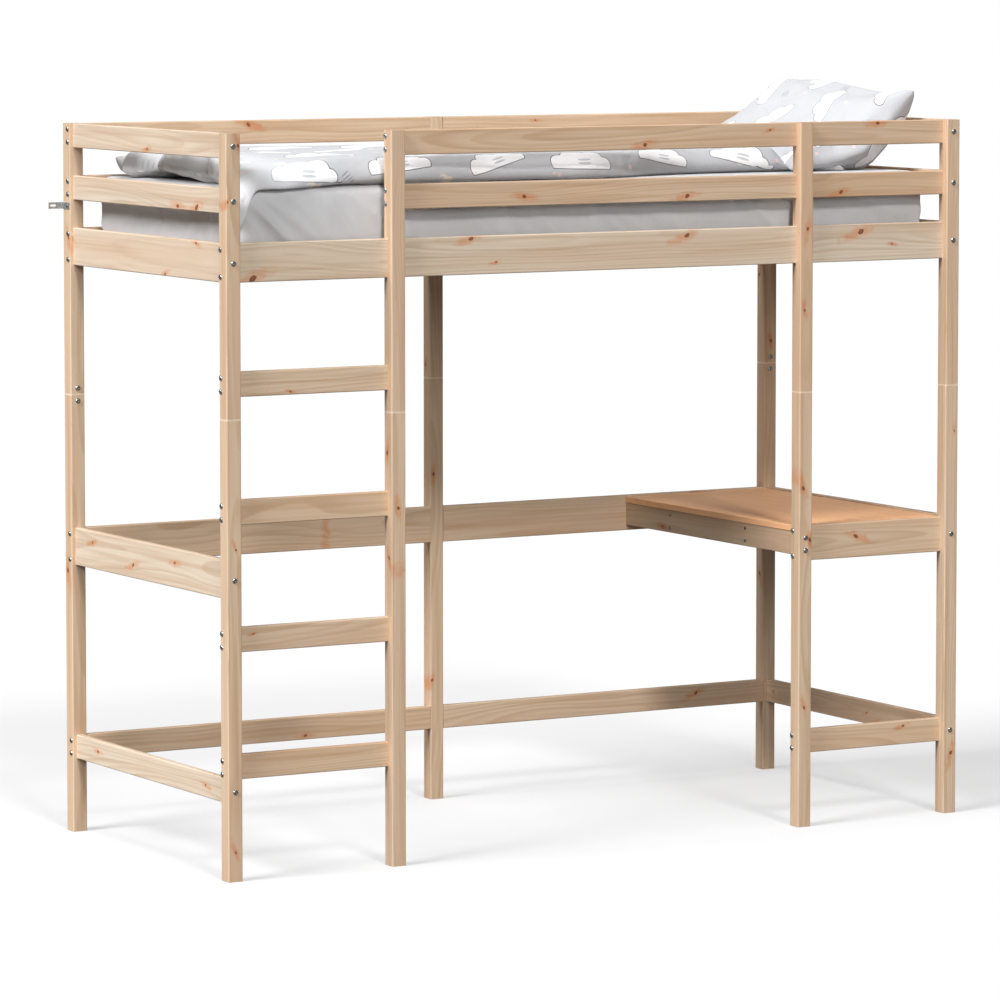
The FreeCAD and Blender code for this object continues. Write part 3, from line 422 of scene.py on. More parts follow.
BOARD_KNOTS = {
    "front_top_guard": [(0.607, 0.2, 0.0045, 0), (0.93, 0.7, 0.002, 0)],
    "front_lower_guard": [(0.302, 0.38, 0.0042, 0), (0.715, 0.22, 0.0045, 0)],
    "front_bed_rail": [(0.715, 0.84, 0.005, 0), (0.17, 0.93, 0.0045, 0), (0.232, 0.3, 0.002, 0)],
    "desk_top_guard": [(0.506, 0.9, 0.004, 0)],
    "desk_lower_guard": [(0.236, 0.2, 0.0042, 0)],
    "desk_bed_rail": [(0.385, 0.8, 0.006, 0), (0.618, 0.44, 0.002, 0)],
    "desk_front_rail": [(0.36, 0.6, 0.0045, 0)],
    "desk_bottom_rail": [(0.725, 0.78, 0.003, 0)],
    "ladder_bed_rail": [(0.106, 0.1, 0.007, 0)],
    "ladder_rung_1": [(0.35, 0.12, 0.002, 0)],
    "ladder_rung_2": [],
    "ladder_rung_3": [(0.1, 0.7, 0.0015, 0)],
    "ladder_rung_4": [],
    "left_end_top_guard": [(0.49, 0.15, 0.003, 0)],
    "left_end_lower_guard": [(0.288, 0.14, 0.005, 0), (0.165, 0.16, 0.006, 0)],
    "left_end_bed_rail": [(0.374, 0.05, 0.0035, 0), (0.17, 0.93, 0.003, 0)],
    "left_end_middle_rail": [(0.6, 0.34, 0.0042, 0), (0.32, 0.64, 0.0038, 0), (0.88, 0.7, 0.003, 0)],
    "left_end_bottom_rail": [(0.85, 0.55, 0.0032, 0), (0.124, 0.49, 0.003, 0)],
    "post_front_left_lower": [(0.064, 0.5, 0.003, 0), (0.72, 0.6, 0.0022, 0)],
    "post_ladder_lower": [(0.91, 0.6, 0.0045, 1), (0.79, 0.45, 0.0035, 0), (0.68, 0.4, 0.004, 1)],
    "post_back_left_lower": [(0.598, 0.62, 0.005, 1)],
    "post_back_left_upper": [(0.58, 0.25, 0.004, 1)],
}


def lay_of(node):
    """Which way a wooden node lies, or None if it isn't wood."""
    if node in ("desk_board", "bed_slats"):
        return "flat_y"
    if node == "desk_battens":
        return "flat_x"
    if node == "desk_side_rail" or node.startswith(("left_end_", "right_end_")):
        return "end"
    if node == "slat_ledgers" or node.startswith(("front_", "back_", "ladder_", "desk_")):
        return "front"
    return "post" if node.startswith("post_") else None


def paint_board(node, lay):
    if node == "bed_slats":
        paint_pine(node, lay, seeded_knots(node, lay, 2), 0.35, SLAT_PITCH)
    elif node == "desk_board":
        # The desk board's colour is brightened as painted light, where the bed above shades it.
        paint_pine(node, lay, seeded_knots(node, lay, 2), 1.0, STAVE, DESK_PAINTED_LIGHT)
    else:
        knots = BOARD_KNOTS.get(node)
        knots = seeded_knots(node, lay) if knots is None else knots
        # Left-end boards are painted paler as a painted highlight from the left light; the bed rails are a
        # paler tone.
        pale_and_highlight = node.startswith("left_end_") or node in PALE_BOARDS
        paint_pine(node, lay, knots, 0.45 * (SEEDS[node] % 1), tone_and_light_tint=PALE_AND_HIGHLIGHT_TINT if pale_and_highlight else NO_TINT)


for node_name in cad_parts:
    if lay_of(node_name):
        paint_board(node_name, lay_of(node_name))


# ----------------------------------------------------------------------- steel


STEEL_STAIN = srgb(205, 200, 192)


def paint_steel(name, colour, roughness, grain, nodes):
    """Plated or pressed steel with fine turning marks and slight staining."""
    material, g = new_material(name)
    place = g.add("ShaderNodeTexCoord").outputs["Object"]
    spots = g.noise(place, 260.0, 3.0, 0.6)
    marks = g.grain(place, (grain, grain, grain * 0.15))
    dull = g.mix(1.0, colour, STEEL_STAIN, "MULTIPLY")
    shade = g.mix(g.step(spots, 0.4, 0.75), colour, dull)
    rough = g.math("ADD", roughness, g.math("MULTIPLY", g.math("SUBTRACT", spots, 0.5), 0.22))
    g.shader(Base_Color=shade, Metallic=1.0, Roughness=rough, Normal=g.bump(marks, 0.0002, 0.4))
    for node in nodes:
        give(node, material)


paint_steel("zinc_bolts", srgb(190, 189, 186), 0.34, 900.0, ("frame_bolts", "barrel_nuts"))
# The screws' zinc is darker than the bolts': painted shade for their sunk heads.
paint_steel("zinc_screws_painted_shade", srgb(150, 146, 140), 0.42, 900.0, ("wood_screws",))
paint_steel("pressed_bracket", srgb(205, 207, 210), 0.42, 1500.0, ("wall_bracket",))


# --------------------------------------------------------------- soft geometry


def smooth(low, high, value):
    share = np.clip((value - low) / (high - low), 0, 1)
    return share * share * (3 - 2 * share)


def wobble(points, scale, seed):
    """Smooth noise from -1 to 1 at each point; scale is one number for each axis."""
    moved = points * np.array(scale) + seed
    return np.array([noise.noise(Vector(p)) for p in moved])


def mesh_object(name, points, faces, uvs=None):
    """A smooth mesh. uvs holds the cloth's own place, in metres, for each corner of each face."""
    mesh = bpy.data.meshes.new(name)
    mesh.from_pydata([tuple(p) for p in points], [], faces)
    if uvs is not None:
        mesh.uv_layers.new(name="cloth").data.foreach_set("uv", uvs.astype(np.float32).ravel())
    mesh.shade_smooth()
    mesh.update()
    made = bpy.data.objects.new(name, mesh)
    scene.collection.objects.link(made)
    return made


def coordinates(mesh):
    flat = np.zeros(len(mesh.vertices) * 3, np.float32)
    mesh.vertices.foreach_get("co", flat)
    return flat.reshape(-1, 3).astype(float)


def set_coordinates(mesh, points):
    mesh.vertices.foreach_set("co", points.astype(np.float32).ravel())
    mesh.update()


def simulate(piece, pressure, shrink, cap, bending=0.5):
    """Inflates the piece as cloth with no gravity. No point moves further than cap."""
    start = coordinates(piece.data)
    cloth = piece.modifiers.new("cloth", "CLOTH")
    settings = cloth.settings
    settings.quality = 4
    settings.mass = 0.25
    settings.tension_stiffness = 12
    settings.compression_stiffness = 12
    settings.shear_stiffness = 4
    settings.bending_stiffness = bending
    settings.use_pressure = True
    settings.uniform_pressure_force = pressure
    settings.shrink_min = shrink
    settings.effector_weights.gravity = 0
    cloth.collision_settings.use_collision = False
    cloth.point_cache.frame_start = 1
    cloth.point_cache.frame_end = CLOTH_FRAMES
    for step in range(1, CLOTH_FRAMES + 1):
        scene.frame_set(step)
    graph = bpy.context.evaluated_depsgraph_get()
    moved = coordinates(piece.evaluated_get(graph).data) - start
    far = np.linalg.norm(moved, axis=1, keepdims=True)
    limited = moved * cap * np.tanh(far / cap) / np.maximum(far, 1e-9)
    piece.modifiers.remove(cloth)
    set_coordinates(piece.data, start + limited)
    scene.frame_set(1)


def subdivide(piece):
    modifier = piece.modifiers.new("smooth", "SUBSURF")
    modifier.levels = 1
    modifier.render_levels = 1


def quads_of(grid):
    """The four corners of each square of a grid, one row for each square."""
    corners = [grid[:-1, :-1], grid[1:, :-1], grid[1:, 1:], grid[:-1, 1:]]
    return np.stack(corners, 2).reshape(-1, 4, *grid.shape[2:])


def run_along(points, axis):
    """The distance run along one way of a grid of points, averaged over the other."""
    steps = np.linalg.norm(np.diff(points, axis=axis), axis=2).mean(axis=1 - axis)
    return np.concatenate([[0.0], np.cumsum(steps)])


def two_layers(name, columns, rows, place):
    """A closed bag of two layers sewn at the rim. place(s, t, side) gives the points, with s and t
    from 0 to 1 and side 1 on top, -1 below. The print runs over the edge at t = 0."""
    s, t = np.meshgrid(np.linspace(0, 1, columns + 1), np.linspace(0, 1, rows + 1), indexing="ij")
    inner = np.zeros_like(s, bool)
    inner[1:-1, 1:-1] = True
    top = np.arange(s.size).reshape(s.shape)
    under = top.copy()
    under[inner] = s.size + np.arange(inner.sum())
    points = np.vstack([
        place(s.ravel(), t.ravel(), np.where(inner, 1.0, 0.0).ravel()),
        place(s[inner], t[inner], -np.ones(inner.sum())),
    ])
    faces, uvs = [], []
    for layer, way in ((top, 1), (under, -1)):
        u, v = run_along(points[layer], 0), run_along(points[layer], 1) * way
        cloth = np.stack(np.meshgrid(u, v, indexing="ij"), -1)
        faces += quads_of(layer)[:, ::way].tolist()
        uvs.append(quads_of(cloth)[:, ::way].reshape(-1, 2))
    return mesh_object(name, points, faces, np.vstack(uvs))


def rounded_block(name, low, high, step, corner, edge):
    """A closed box of even squares, with upright corners of one radius and soft top and bottom edges."""
    counts = [max(2, round((b - a) / step)) for a, b in zip(low, high)]
    index = {}
    faces = []

    def corner_of(cell):
        return index.setdefault(cell, len(index))

    for axis in range(3):
        first, second = (axis + 1) % 3, (axis + 2) % 3
        for end in (0, counts[axis]):
            for i in range(counts[first]):
                for j in range(counts[second]):
                    quad = []
                    for di, dj in ((0, 0), (1, 0), (1, 1), (0, 1)):
                        cell = [0, 0, 0]
                        cell[axis], cell[first], cell[second] = end, i + di, j + dj
                        quad.append(corner_of(tuple(cell)))
                    faces.append(quad if end else quad[::-1])
    cells = np.array(list(index), float)
    low, high = np.array(low), np.array(high)
    points = low + (high - low) * cells / np.array(counts)
    core = np.clip(points[:, :2], low[:2] + corner, high[:2] - corner)
    out = points[:, :2] - core
    reach = np.abs(out).max(axis=1, keepdims=True)
    away = out / np.maximum(np.linalg.norm(out, axis=1, keepdims=True), 1e-9)
    inset = corner - reach[:, 0]
    middle = (low[2] + high[2]) / 2
    half = (high[2] - low[2]) / 2
    rise = points[:, 2] - middle
    a = np.maximum(0, edge - inset)
    b = np.maximum(0, edge - (half - np.abs(rise)))
    scale = np.maximum(a, b) / np.maximum(np.hypot(a, b), 1e-9)
    inset = np.where(a > 0, edge - a * scale, inset)
    tall = np.where(b > 0, half - edge + b * scale, np.abs(rise))
    points[:, :2] = core + away * (corner - inset)[:, None]
    points[:, 2] = middle + np.sign(rise) * tall
    return mesh_object(name, points, faces), away


def ride(piece, node):
    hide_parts(node)
    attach(piece, "root")


# -------------------------------------------------------------------- mattress

MATTRESS_LOW, MATTRESS_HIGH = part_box("mattress")
# How much smaller the block starts than its CAD solid, because it swells.
SWELL = 0.004
SHEET_GRID = 0.0125
SHEET_CORNER = 0.026
SHEET_EDGE = 0.018
SHEET_FOLDS = 46
# The folds stand further out left of this place.
DEEP_FOLDS_X = -0.5


def sheet_folds(points, away):
    """How far the fitted sheet stands off the mattress: fans of soft folds from each corner."""
    share = (points[:, 2] - MATTRESS_LOW.z) / (MATTRESS_HIGH.z - MATTRESS_LOW.z)
    along = np.where(np.abs(away[:, 0]) > np.abs(away[:, 1]), points[:, 1], points[:, 0])
    folds = np.zeros(len(points))
    chance = random.Random(12)
    for _ in range(SHEET_FOLDS):
        foot = chance.uniform(-1.05, 1.05)
        lean = chance.uniform(0.02, 0.26)
        width = chance.uniform(0.006, 0.016)
        height = chance.uniform(0.0012, 0.004) * (2.6 if foot < DEEP_FOLDS_X else 1.0)
        line = foot + lean * (1 - share)
        fade = smooth(0.0, 0.25, share) * (1 - 0.7 * smooth(0.75, 1.0, share))
        folds += height * fade * np.exp(-(((along - line) / width) ** 2))
    return folds


def make_mattress():
    low = [MATTRESS_LOW.x + SWELL, MATTRESS_LOW.y + SWELL, MATTRESS_LOW.z + 0.001]
    high = [MATTRESS_HIGH.x - SWELL, MATTRESS_HIGH.y - SWELL, MATTRESS_HIGH.z - 0.003]
    piece, away = rounded_block("mattress_soft", low, high, SHEET_GRID, SHEET_CORNER, SHEET_EDGE)
    points = coordinates(piece.data)
    side = np.linalg.norm(away, axis=1)
    share = (points[:, 2] - MATTRESS_LOW.z) / (MATTRESS_HIGH.z - MATTRESS_LOW.z)
    out = sheet_folds(points, away) * side * smooth(0.5, 1.0, side)
    out -= 0.004 * side * (np.abs(share - 0.5) * 2) ** 2
    points[:, :2] += away * out[:, None]
    set_coordinates(piece.data, points)
    simulate(piece, pressure=1.2, shrink=-0.01, cap=0.004)
    points = coordinates(piece.data)
    points[:, 2] = np.clip(points[:, 2], MATTRESS_LOW.z + 0.0003, MATTRESS_HIGH.z)
    set_coordinates(piece.data, points)
    subdivide(piece)
    return piece


# ----------------------------------------------------------------------- duvet

DUVET_LOW, DUVET_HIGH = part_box("duvet")
DUVET_GRID = (196, 88)
DUVET_LOFT = 0.050
DUVET_PRESSED = 0.008
# How far in from the rim the two layers part, and how far along the left end keeps its own shape.
DUVET_RIM = 0.045
DUVET_END_REACH = 0.17
# How far the front edge hangs over the mattress's, and the front left corner hangs down.
DUVET_DROOP = 0.024
CORNER_DROP = 0.1
# Left end, from the front corner to the back one: (share of the width, top, underside, inset).
DUVET_END = [
    (0.0, 0.020, 0.002, 0.0),
    (0.1, 0.026, 0.002, 0.004),
    (0.2, 0.034, 0.003, 0.0),
    (0.31, 0.060, 0.006, 0.006),
    (0.45, 0.064, 0.022, -0.004),
    (0.585, 0.068, 0.030, 0.002),
    (0.66, 0.058, 0.028, 0.016),
    (0.715, 0.030, 0.010, 0.040),
    (0.78, 0.062, 0.003, 0.002),
    (0.85, 0.058, 0.004, 0.0),
    (0.905, 0.034, 0.004, 0.036),
    (0.955, 0.040, 0.002, 0.034),
    (1.0, 0.048, 0.002, 0.044),
]


def end_profile(t, column):
    """A column of DUVET_END at the shares t, eased between its rows."""
    shares = np.array([row[0] for row in DUVET_END])
    values = np.array([row[column] for row in DUVET_END])
    at = np.clip(np.searchsorted(shares, t, side="right") - 1, 0, len(shares) - 2)
    part = (t - shares[at]) / (shares[at + 1] - shares[at])
    return values[at] + (values[at + 1] - values[at]) * part * part * (3 - 2 * part)


def place_duvet(s, t, side):
    width = DUVET_HIGH.y - DUVET_LOW.y
    length = DUVET_HIGH.x - DUVET_LOW.x
    near = np.exp(-((s * length / DUVET_END_REACH) ** 2))
    x = DUVET_LOW.x + 0.002 * near + s * length + near * end_profile(t, 3)
    receding = 0.1 * smooth(0.52, 0.76, s) + 0.008 * np.sin(s * 17) * smooth(0.1, 0.3, s)
    front = DUVET_LOW.y - 0.004 + receding
    back = DUVET_HIGH.y - 0.004 + 0.004 * np.sin(s * 23)
    y = front + t * (back - front)
    flat = np.stack([x, y, np.zeros_like(x)], -1)
    rim = np.minimum(np.minimum(s, 1 - s) * length, np.minimum(t, 1 - t) * width)
    round_edge = np.sqrt(1 - (1 - np.clip(rim / DUVET_RIM, 0, 1)) ** 2)
    bed = MATTRESS_HIGH.z + 0.0015
    lumps = wobble(flat, (4.0, 5.0, 1.0), 3.1) * 0.008
    lumps += wobble(flat, (9.0, 17.0, 1.0), 8.4) * 0.004
    lumps += np.abs(wobble(flat, (5.0, 30.0, 1.0), 5.7)) * 0.004
    body_top = DUVET_LOFT + lumps
    pressed = smooth(PILLOW_LOW.x, PILLOW_LOW.x + 0.06, x)
    pressed *= smooth(PILLOW_LOW.y - 0.02, PILLOW_LOW.y + 0.05, y)
    pressed *= smooth(PILLOW_HIGH.y + 0.02, PILLOW_HIGH.y - 0.05, y)
    body_top = body_top * (1 - pressed) + DUVET_PRESSED * pressed
    top = body_top * (1 - near) + end_profile(t, 1) * near
    under = 0.001 * (1 - near) + end_profile(t, 2) * near
    tip = np.exp(-((s * length / 0.05) ** 2) - ((1 - t) * width / 0.05) ** 2)
    seam = under + (top - under) * (0.14 + 0.7 * tip)
    droop = DUVET_DROOP * smooth(MATTRESS_LOW.y + 0.03, MATTRESS_LOW.y - 0.008, y)
    droop *= 1 - smooth(0.05, 0.22, s)
    upper = seam + (top - seam) * round_edge
    lower = seam - (seam - under) * round_edge
    z = np.where(side > 0, upper, np.where(side < 0, lower, seam))
    z = bed + z - droop
    pull = np.exp(-((s * length / 0.022) ** 2) - (t * width / 0.034) ** 2)
    x = x - 0.016 * pull
    y = y - 0.008 * pull
    z = z - CORNER_DROP * pull
    return np.stack([x, y, z], -1)


def make_duvet():
    piece = two_layers("duvet_soft", *DUVET_GRID, place_duvet)
    simulate(piece, pressure=2.5, shrink=-0.03, cap=0.012, bending=0.2)
    points = coordinates(piece.data)
    inside = (points[:, 0] > MATTRESS_LOW.x + 0.02) & (points[:, 1] > MATTRESS_LOW.y + 0.03)
    points[inside, 2] = np.maximum(points[inside, 2], MATTRESS_HIGH.z + 0.0005)
    points[:, 2] = np.minimum(points[:, 2], DUVET_HIGH.z + 0.012)
    set_coordinates(piece.data, points)
    subdivide(piece)
    return piece


# ---------------------------------------------------------------------- pillow

PILLOW_LOW, PILLOW_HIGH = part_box("pillow")
PILLOW_GRID = (56, 78)
PILLOW_FLAT = (0.50, 0.70)
PILLOW_HALF = 0.046
PILLOW_CROWN = 0.055
# The sewn edge's line, foot to head, as (share of the length, height above the mattress).
PILLOW_FRONT = [(0.0, 0.012), (0.25, 0.013), (0.5, 0.028), (0.68, 0.056), (0.84, 0.122), (1.0, 0.203)]
PILLOW_BACK = [(0.0, 0.030), (0.235, 0.045), (0.45, 0.078), (0.7, 0.128), (1.0, 0.190)]


def edge_line(rows, share):
    """A smooth line through a few (share, height) rows."""
    xs = np.array([row[0] for row in rows])
    ys = np.array([row[1] for row in rows])
    slopes = np.gradient(ys, xs)
    at = np.clip(np.searchsorted(xs, share, side="right") - 1, 0, len(xs) - 2)
    gap = xs[at + 1] - xs[at]
    p = np.clip((share - xs[at]) / gap, -0.2, 1.2)
    start = (2 * p**3 - 3 * p**2 + 1) * ys[at] + (p**3 - 2 * p**2 + p) * gap * slopes[at]
    end = (3 * p**2 - 2 * p**3) * ys[at + 1] + (p**3 - p**2) * gap * slopes[at + 1]
    return start + end


def place_flat_pillow(s, t, side):
    rim = np.minimum(np.minimum(s, 1 - s) * PILLOW_FLAT[0], np.minimum(t, 1 - t) * PILLOW_FLAT[1])
    puff = np.sqrt(1 - (1 - np.clip(rim / 0.2, 0, 1)) ** 2)
    points = np.stack([s * PILLOW_FLAT[0], t * PILLOW_FLAT[1], np.zeros_like(s)], -1)
    middle = np.array([PILLOW_FLAT[0] / 2, PILLOW_FLAT[1] / 2, 0])
    pinch_x = 0.022 * (1 - (2 * t - 1) ** 2) * np.sign(s - 0.5) * np.abs(2 * s - 1) ** 2
    pinch_y = 0.018 * (1 - (2 * s - 1) ** 2) * np.sign(t - 0.5) * np.abs(2 * t - 1) ** 2
    points[:, 0] -= pinch_x
    points[:, 1] -= pinch_y
    creases = wobble(points, (16.0, 16.0, 1.0), 2.2) * 0.004
    points[:, 2] = side * (PILLOW_HALF * puff + creases * puff)
    return points - middle


def make_pillow():
    piece = two_layers("pillow_soft", *PILLOW_GRID, place_flat_pillow)
    simulate(piece, pressure=4.0, shrink=-0.02, cap=0.03, bending=0.3)
    flat = coordinates(piece.data)
    low, high = flat.min(axis=0), flat.max(axis=0)
    s = (flat[:, 0] - low[0]) / (high[0] - low[0])
    t = (flat[:, 1] - low[1]) / (high[1] - low[1])
    thick = flat[:, 2] * np.where(flat[:, 2] > 0, 0.72, 1.0)
    foot = PILLOW_LOW.x + 0.026
    head = PILLOW_HIGH.x - 0.030 + 0.008 * t
    front = edge_line(PILLOW_FRONT, s)
    back = edge_line(PILLOW_BACK, s)
    height = MATTRESS_HIGH.z + front + (back - front) * smooth(0.0, 1.0, t)
    height += PILLOW_CROWN * np.sin(math.pi * np.clip(t, 0, 1) ** 1.25) ** 0.8 * np.clip(s, 0, 1) ** 2
    step = 0.01
    rise_front = (edge_line(PILLOW_FRONT, s + step) - edge_line(PILLOW_FRONT, s - step)) / (2 * step)
    rise_back = (edge_line(PILLOW_BACK, s + step) - edge_line(PILLOW_BACK, s - step)) / (2 * step)
    slope = (rise_front + (rise_back - rise_front) * smooth(0.0, 1.0, t)) / (head - foot)
    tilt = np.arctan(slope)
    x = foot + s * (head - foot) - np.sin(tilt) * thick
    y = PILLOW_LOW.y - 0.006 + t * (PILLOW_HIGH.y - PILLOW_LOW.y - 0.055)
    z = height + np.cos(tilt) * thick
    on_duvet = smooth(DUVET_HIGH.x + 0.03, DUVET_HIGH.x - 0.05, x)
    on_duvet *= smooth(DUVET_LOW.y + 0.07, DUVET_LOW.y + 0.14, y)
    floor = MATTRESS_HIGH.z + 0.003 + 0.018 * on_duvet
    z = z + np.maximum(0, floor + 0.02 - z) * 0.2
    z = np.maximum(z, floor)
    x = np.minimum(x, PILLOW_HIGH.x)
    set_coordinates(piece.data, np.stack([x, y, z], -1))
    subdivide(piece)
    return piece


# ----------------------------------------------------------------------- cloth

PRINT_GREY = srgb(192, 193, 196)
PRINT_WHITE = srgb(247, 247, 248)
PRINT_INK = srgb(62, 64, 72)
# Painted light: a paler grey that the print turns towards at the duvet's left end, lifting its shaded rolls
# while its motifs fade.
PRINT_FADE_AND_PAINTED_LIGHT = srgb(230, 231, 233)
PRINT_DASH = srgb(120, 122, 132)
PRINT_RAIN = srgb(150, 152, 160)
SHEET_GREY = srgb(208, 208, 209)
# The cloth's cells that hold one cloud each, or one small mark each, in metres.
CLOUD_CELL = (0.26, 0.15)
MARK_CELL = (0.115, 0.085)
# How high a cloud's flat bottom lies in its cell.
CLOUD_BASE = -0.022
PRINT_PINK = srgb(240, 205, 200)
PRINT_SAND = srgb(238, 226, 212)
# A cloud's round parts as (along, across, radius), in metres from the middle of its cell.
CLOUD = [
    (-0.058, -0.008, 0.026),
    (-0.034, -0.008, 0.022),
    (-0.018, 0.008, 0.035),
    (0.008, -0.006, 0.024),
    (0.032, 0.003, 0.033),
    (0.066, -0.010, 0.020),
]


def cell_of(g, uv, size, offset, seed):
    """Splits the cloth into brick cells. Gives the place in the cell, in metres, and a random colour."""
    u, v, _ = g.split(uv)
    row = g.math("FLOOR", g.math("DIVIDE", v, size[1]))
    shift = g.math("MULTIPLY", g.math("FLOORED_MODULO", row, 2.0), offset)
    column = g.math("ADD", g.math("DIVIDE", u, size[0]), shift)
    lot = g.random(g.combine(g.math("FLOOR", column), row, seed), "3D", "Color")
    x = g.math("MULTIPLY", g.math("SUBTRACT", g.math("FRACT", column), 0.5), size[0])
    part = g.math("FRACT", g.math("DIVIDE", v, size[1]))
    y = g.math("MULTIPLY", g.math("SUBTRACT", part, 0.5), size[1])
    return x, y, lot


def place_in_cell(g, x, y, lot, jitter, turn):
    """Moves and turns a motif within its cell by its random colour."""
    a, b, c = g.split(lot)
    x = g.math("SUBTRACT", x, g.math("MULTIPLY", g.math("SUBTRACT", a, 0.5), jitter))
    y = g.math("SUBTRACT", y, g.math("MULTIPLY", g.math("SUBTRACT", b, 0.5), jitter))
    angle = g.math("MULTIPLY", g.math("SUBTRACT", c, 0.5), turn)
    node = g.add("ShaderNodeVectorRotate", rotation_type="Z_AXIS")
    g.feed(node.inputs["Vector"], g.combine(x, y, 0.0))
    g.feed(node.inputs["Angle"], angle)
    return node.outputs[0]


def away_from(g, point, centre, stretch=(1.0, 1.0, 1.0)):
    moved = g.vector("SUBTRACT", point, (*centre, 0.0))
    return g.vector("LENGTH", g.vector("MULTIPLY", moved, stretch))


def print_group():
    """A child's print of clouds, dots and dashes, for cloth laid out in metres."""
    g, inputs, output = new_group("print", {"Vector": "V"}, {"Color": "C"})
    uv = inputs["Vector"]
    colour = PRINT_GREY

    x, y, lot = cell_of(g, uv, MARK_CELL, 0.5, 4.0)
    pick = g.split(lot)[2]
    point = place_in_cell(g, x, y, lot, 0.04, 3.0)
    dot = g.step(away_from(g, point, (0, 0)), 0.0052, 0.0062, 1.0, 0.0)
    dot = g.math("MULTIPLY", dot, g.math("LESS_THAN", pick, 0.4))
    colour = g.mix(dot, colour, PRINT_PINK)
    for shift in (-0.009, 0.0, 0.009):
        bar = away_from(g, point, (shift, 0.0), (8.0, 1.0, 1.0))
        bar = g.step(bar, 0.0115, 0.014, 0.75, 0.0)
        bar = g.math("MULTIPLY", bar, g.math("GREATER_THAN", pick, 0.8))
        colour = g.mix(bar, colour, PRINT_DASH)
    blob = away_from(g, point, (0.0, 0.0), (1.0, 0.75, 1.0))
    blob = g.math("MULTIPLY", g.step(blob, 0.013, 0.016, 0.8, 0.0), g.math("COMPARE", pick, 0.55, 0.08))
    colour = g.mix(blob, colour, PRINT_SAND)

    x, y, lot = cell_of(g, uv, CLOUD_CELL, 0.5, 1.0)
    point = place_in_cell(g, x, y, lot, 0.03, 0.7)
    edge = None
    for along, across, radius in CLOUD:
        gap = g.math("SUBTRACT", away_from(g, point, (along, across)), radius)
        edge = gap if edge is None else g.math("SMOOTH_MIN", edge, gap, 0.004)
    base = g.math("SUBTRACT", CLOUD_BASE, g.split(point)[1])
    edge = g.math("MAXIMUM", edge, base)
    colour = g.mix(g.step(edge, -0.0004, 0.0004, 1.0, 0.0), colour, PRINT_WHITE)
    line = g.step(g.math("ABSOLUTE", edge), 0.0008, 0.0015, 0.85, 0.0)
    colour = g.mix(line, colour, PRINT_INK)
    for across in (-0.004, 0.006):
        drop = away_from(g, point, (0.01, across - 0.004), (1.0, 6.0, 1.0))
        colour = g.mix(g.step(drop, 0.017, 0.02, 0.55, 0.0), colour, PRINT_RAIN)
    g.feed(output.inputs["Color"], colour)
    return g.tree


def weave(g, place, thread):
    """The height of a plain weave, from any place given in metres."""
    scaled = g.vector("MULTIPLY", place, (TAU / thread,) * 3)
    x, y, z = (g.math("SINE", part) for part in g.split(scaled))
    first = g.math("ADD", g.math("MULTIPLY", x, y), g.math("MULTIPLY", y, z))
    return g.math("ADD", first, g.math("MULTIPLY", z, x))


def paint_print(name, piece, offset):
    """Printed cotton: the print, fainter and paler at the foot of the bed, where its motifs fade and
    painted light lifts the shaded rolls, a fine weave and creases.
    """
    material, g = new_material(name)
    uv = g.add("ShaderNodeUVMap", uv_map="cloth").outputs[0]
    moved = g.vector("ADD", uv, offset)
    motif = g.add("ShaderNodeGroup", node_tree=print_group())
    g.feed(motif.inputs[0], moved)
    threads = weave(g, g.vector("ADD", moved, (0.0, 0.0, 0.0004)), 0.0011)
    soft = g.noise(moved, 14.0, 3.0, 0.6)
    shade = g.math("ADD", 0.975, g.math("MULTIPLY", g.math("SUBTRACT", soft, 0.5), 0.08))
    shade = g.math("ADD", shade, g.math("MULTIPLY", threads, 0.012))
    left = g.split(g.add("ShaderNodeTexCoord").outputs["Object"])[0]
    # At the left end the print fades towards pale grey: partly fewer motifs, partly painted light on the
    # rolls in the guards' shade.
    fade_and_painted_light = g.step(left, DUVET_LOW.x + 0.05, DUVET_LOW.x + 0.24, 0.55, 0.0)
    colour = g.mix(fade_and_painted_light, motif.outputs[0], PRINT_FADE_AND_PAINTED_LIGHT)
    colour = g.mix(1.0, colour, g.combine(shade, shade, shade), "MULTIPLY")
    crease = g.noise(moved, 30.0, 3.0, 0.6)
    height = g.math("ADD", g.math("MULTIPLY", crease, 4.0), g.math("MULTIPLY", threads, 0.12))
    g.shader(
        Base_Color=colour,
        Roughness=g.math("ADD", 0.78, g.math("MULTIPLY", soft, 0.12)),
        Normal=g.bump(height, 0.0014, 0.6),
        Sheen_Weight=0.25,
        Specular_IOR_Level=0.25,
    )
    piece.data.materials.append(material)


def paint_sheet(name, piece):
    """Plain grey jersey, woven fine, with slight marbling."""
    material, g = new_material(name)
    place = g.add("ShaderNodeTexCoord").outputs["Object"]
    threads = weave(g, place, 0.0013)
    marble = g.noise(place, 7.0, 4.0, 0.6)
    fuzz = g.noise(place, 700.0, 2.0, 0.6)
    shade = g.math("ADD", 0.9, g.math("MULTIPLY", marble, 0.12))
    shade = g.math("ADD", shade, g.math("MULTIPLY", g.math("SUBTRACT", fuzz, 0.5), 0.12))
    colour = g.mix(1.0, SHEET_GREY, g.combine(shade, shade, shade), "MULTIPLY")
    crease = g.grain(place, (14.0, 14.0, 8.0), 3.0, 0.6)
    height = g.math("ADD", g.math("MULTIPLY", crease, 6.0), g.math("MULTIPLY", threads, 0.15))
    g.shader(
        Base_Color=colour,
        Roughness=g.math("ADD", 0.8, g.math("MULTIPLY", marble, 0.1)),
        Normal=g.bump(height, 0.0012, 0.6),
        Sheen_Weight=0.3,
        Specular_IOR_Level=0.2,
    )
    piece.data.materials.append(material)


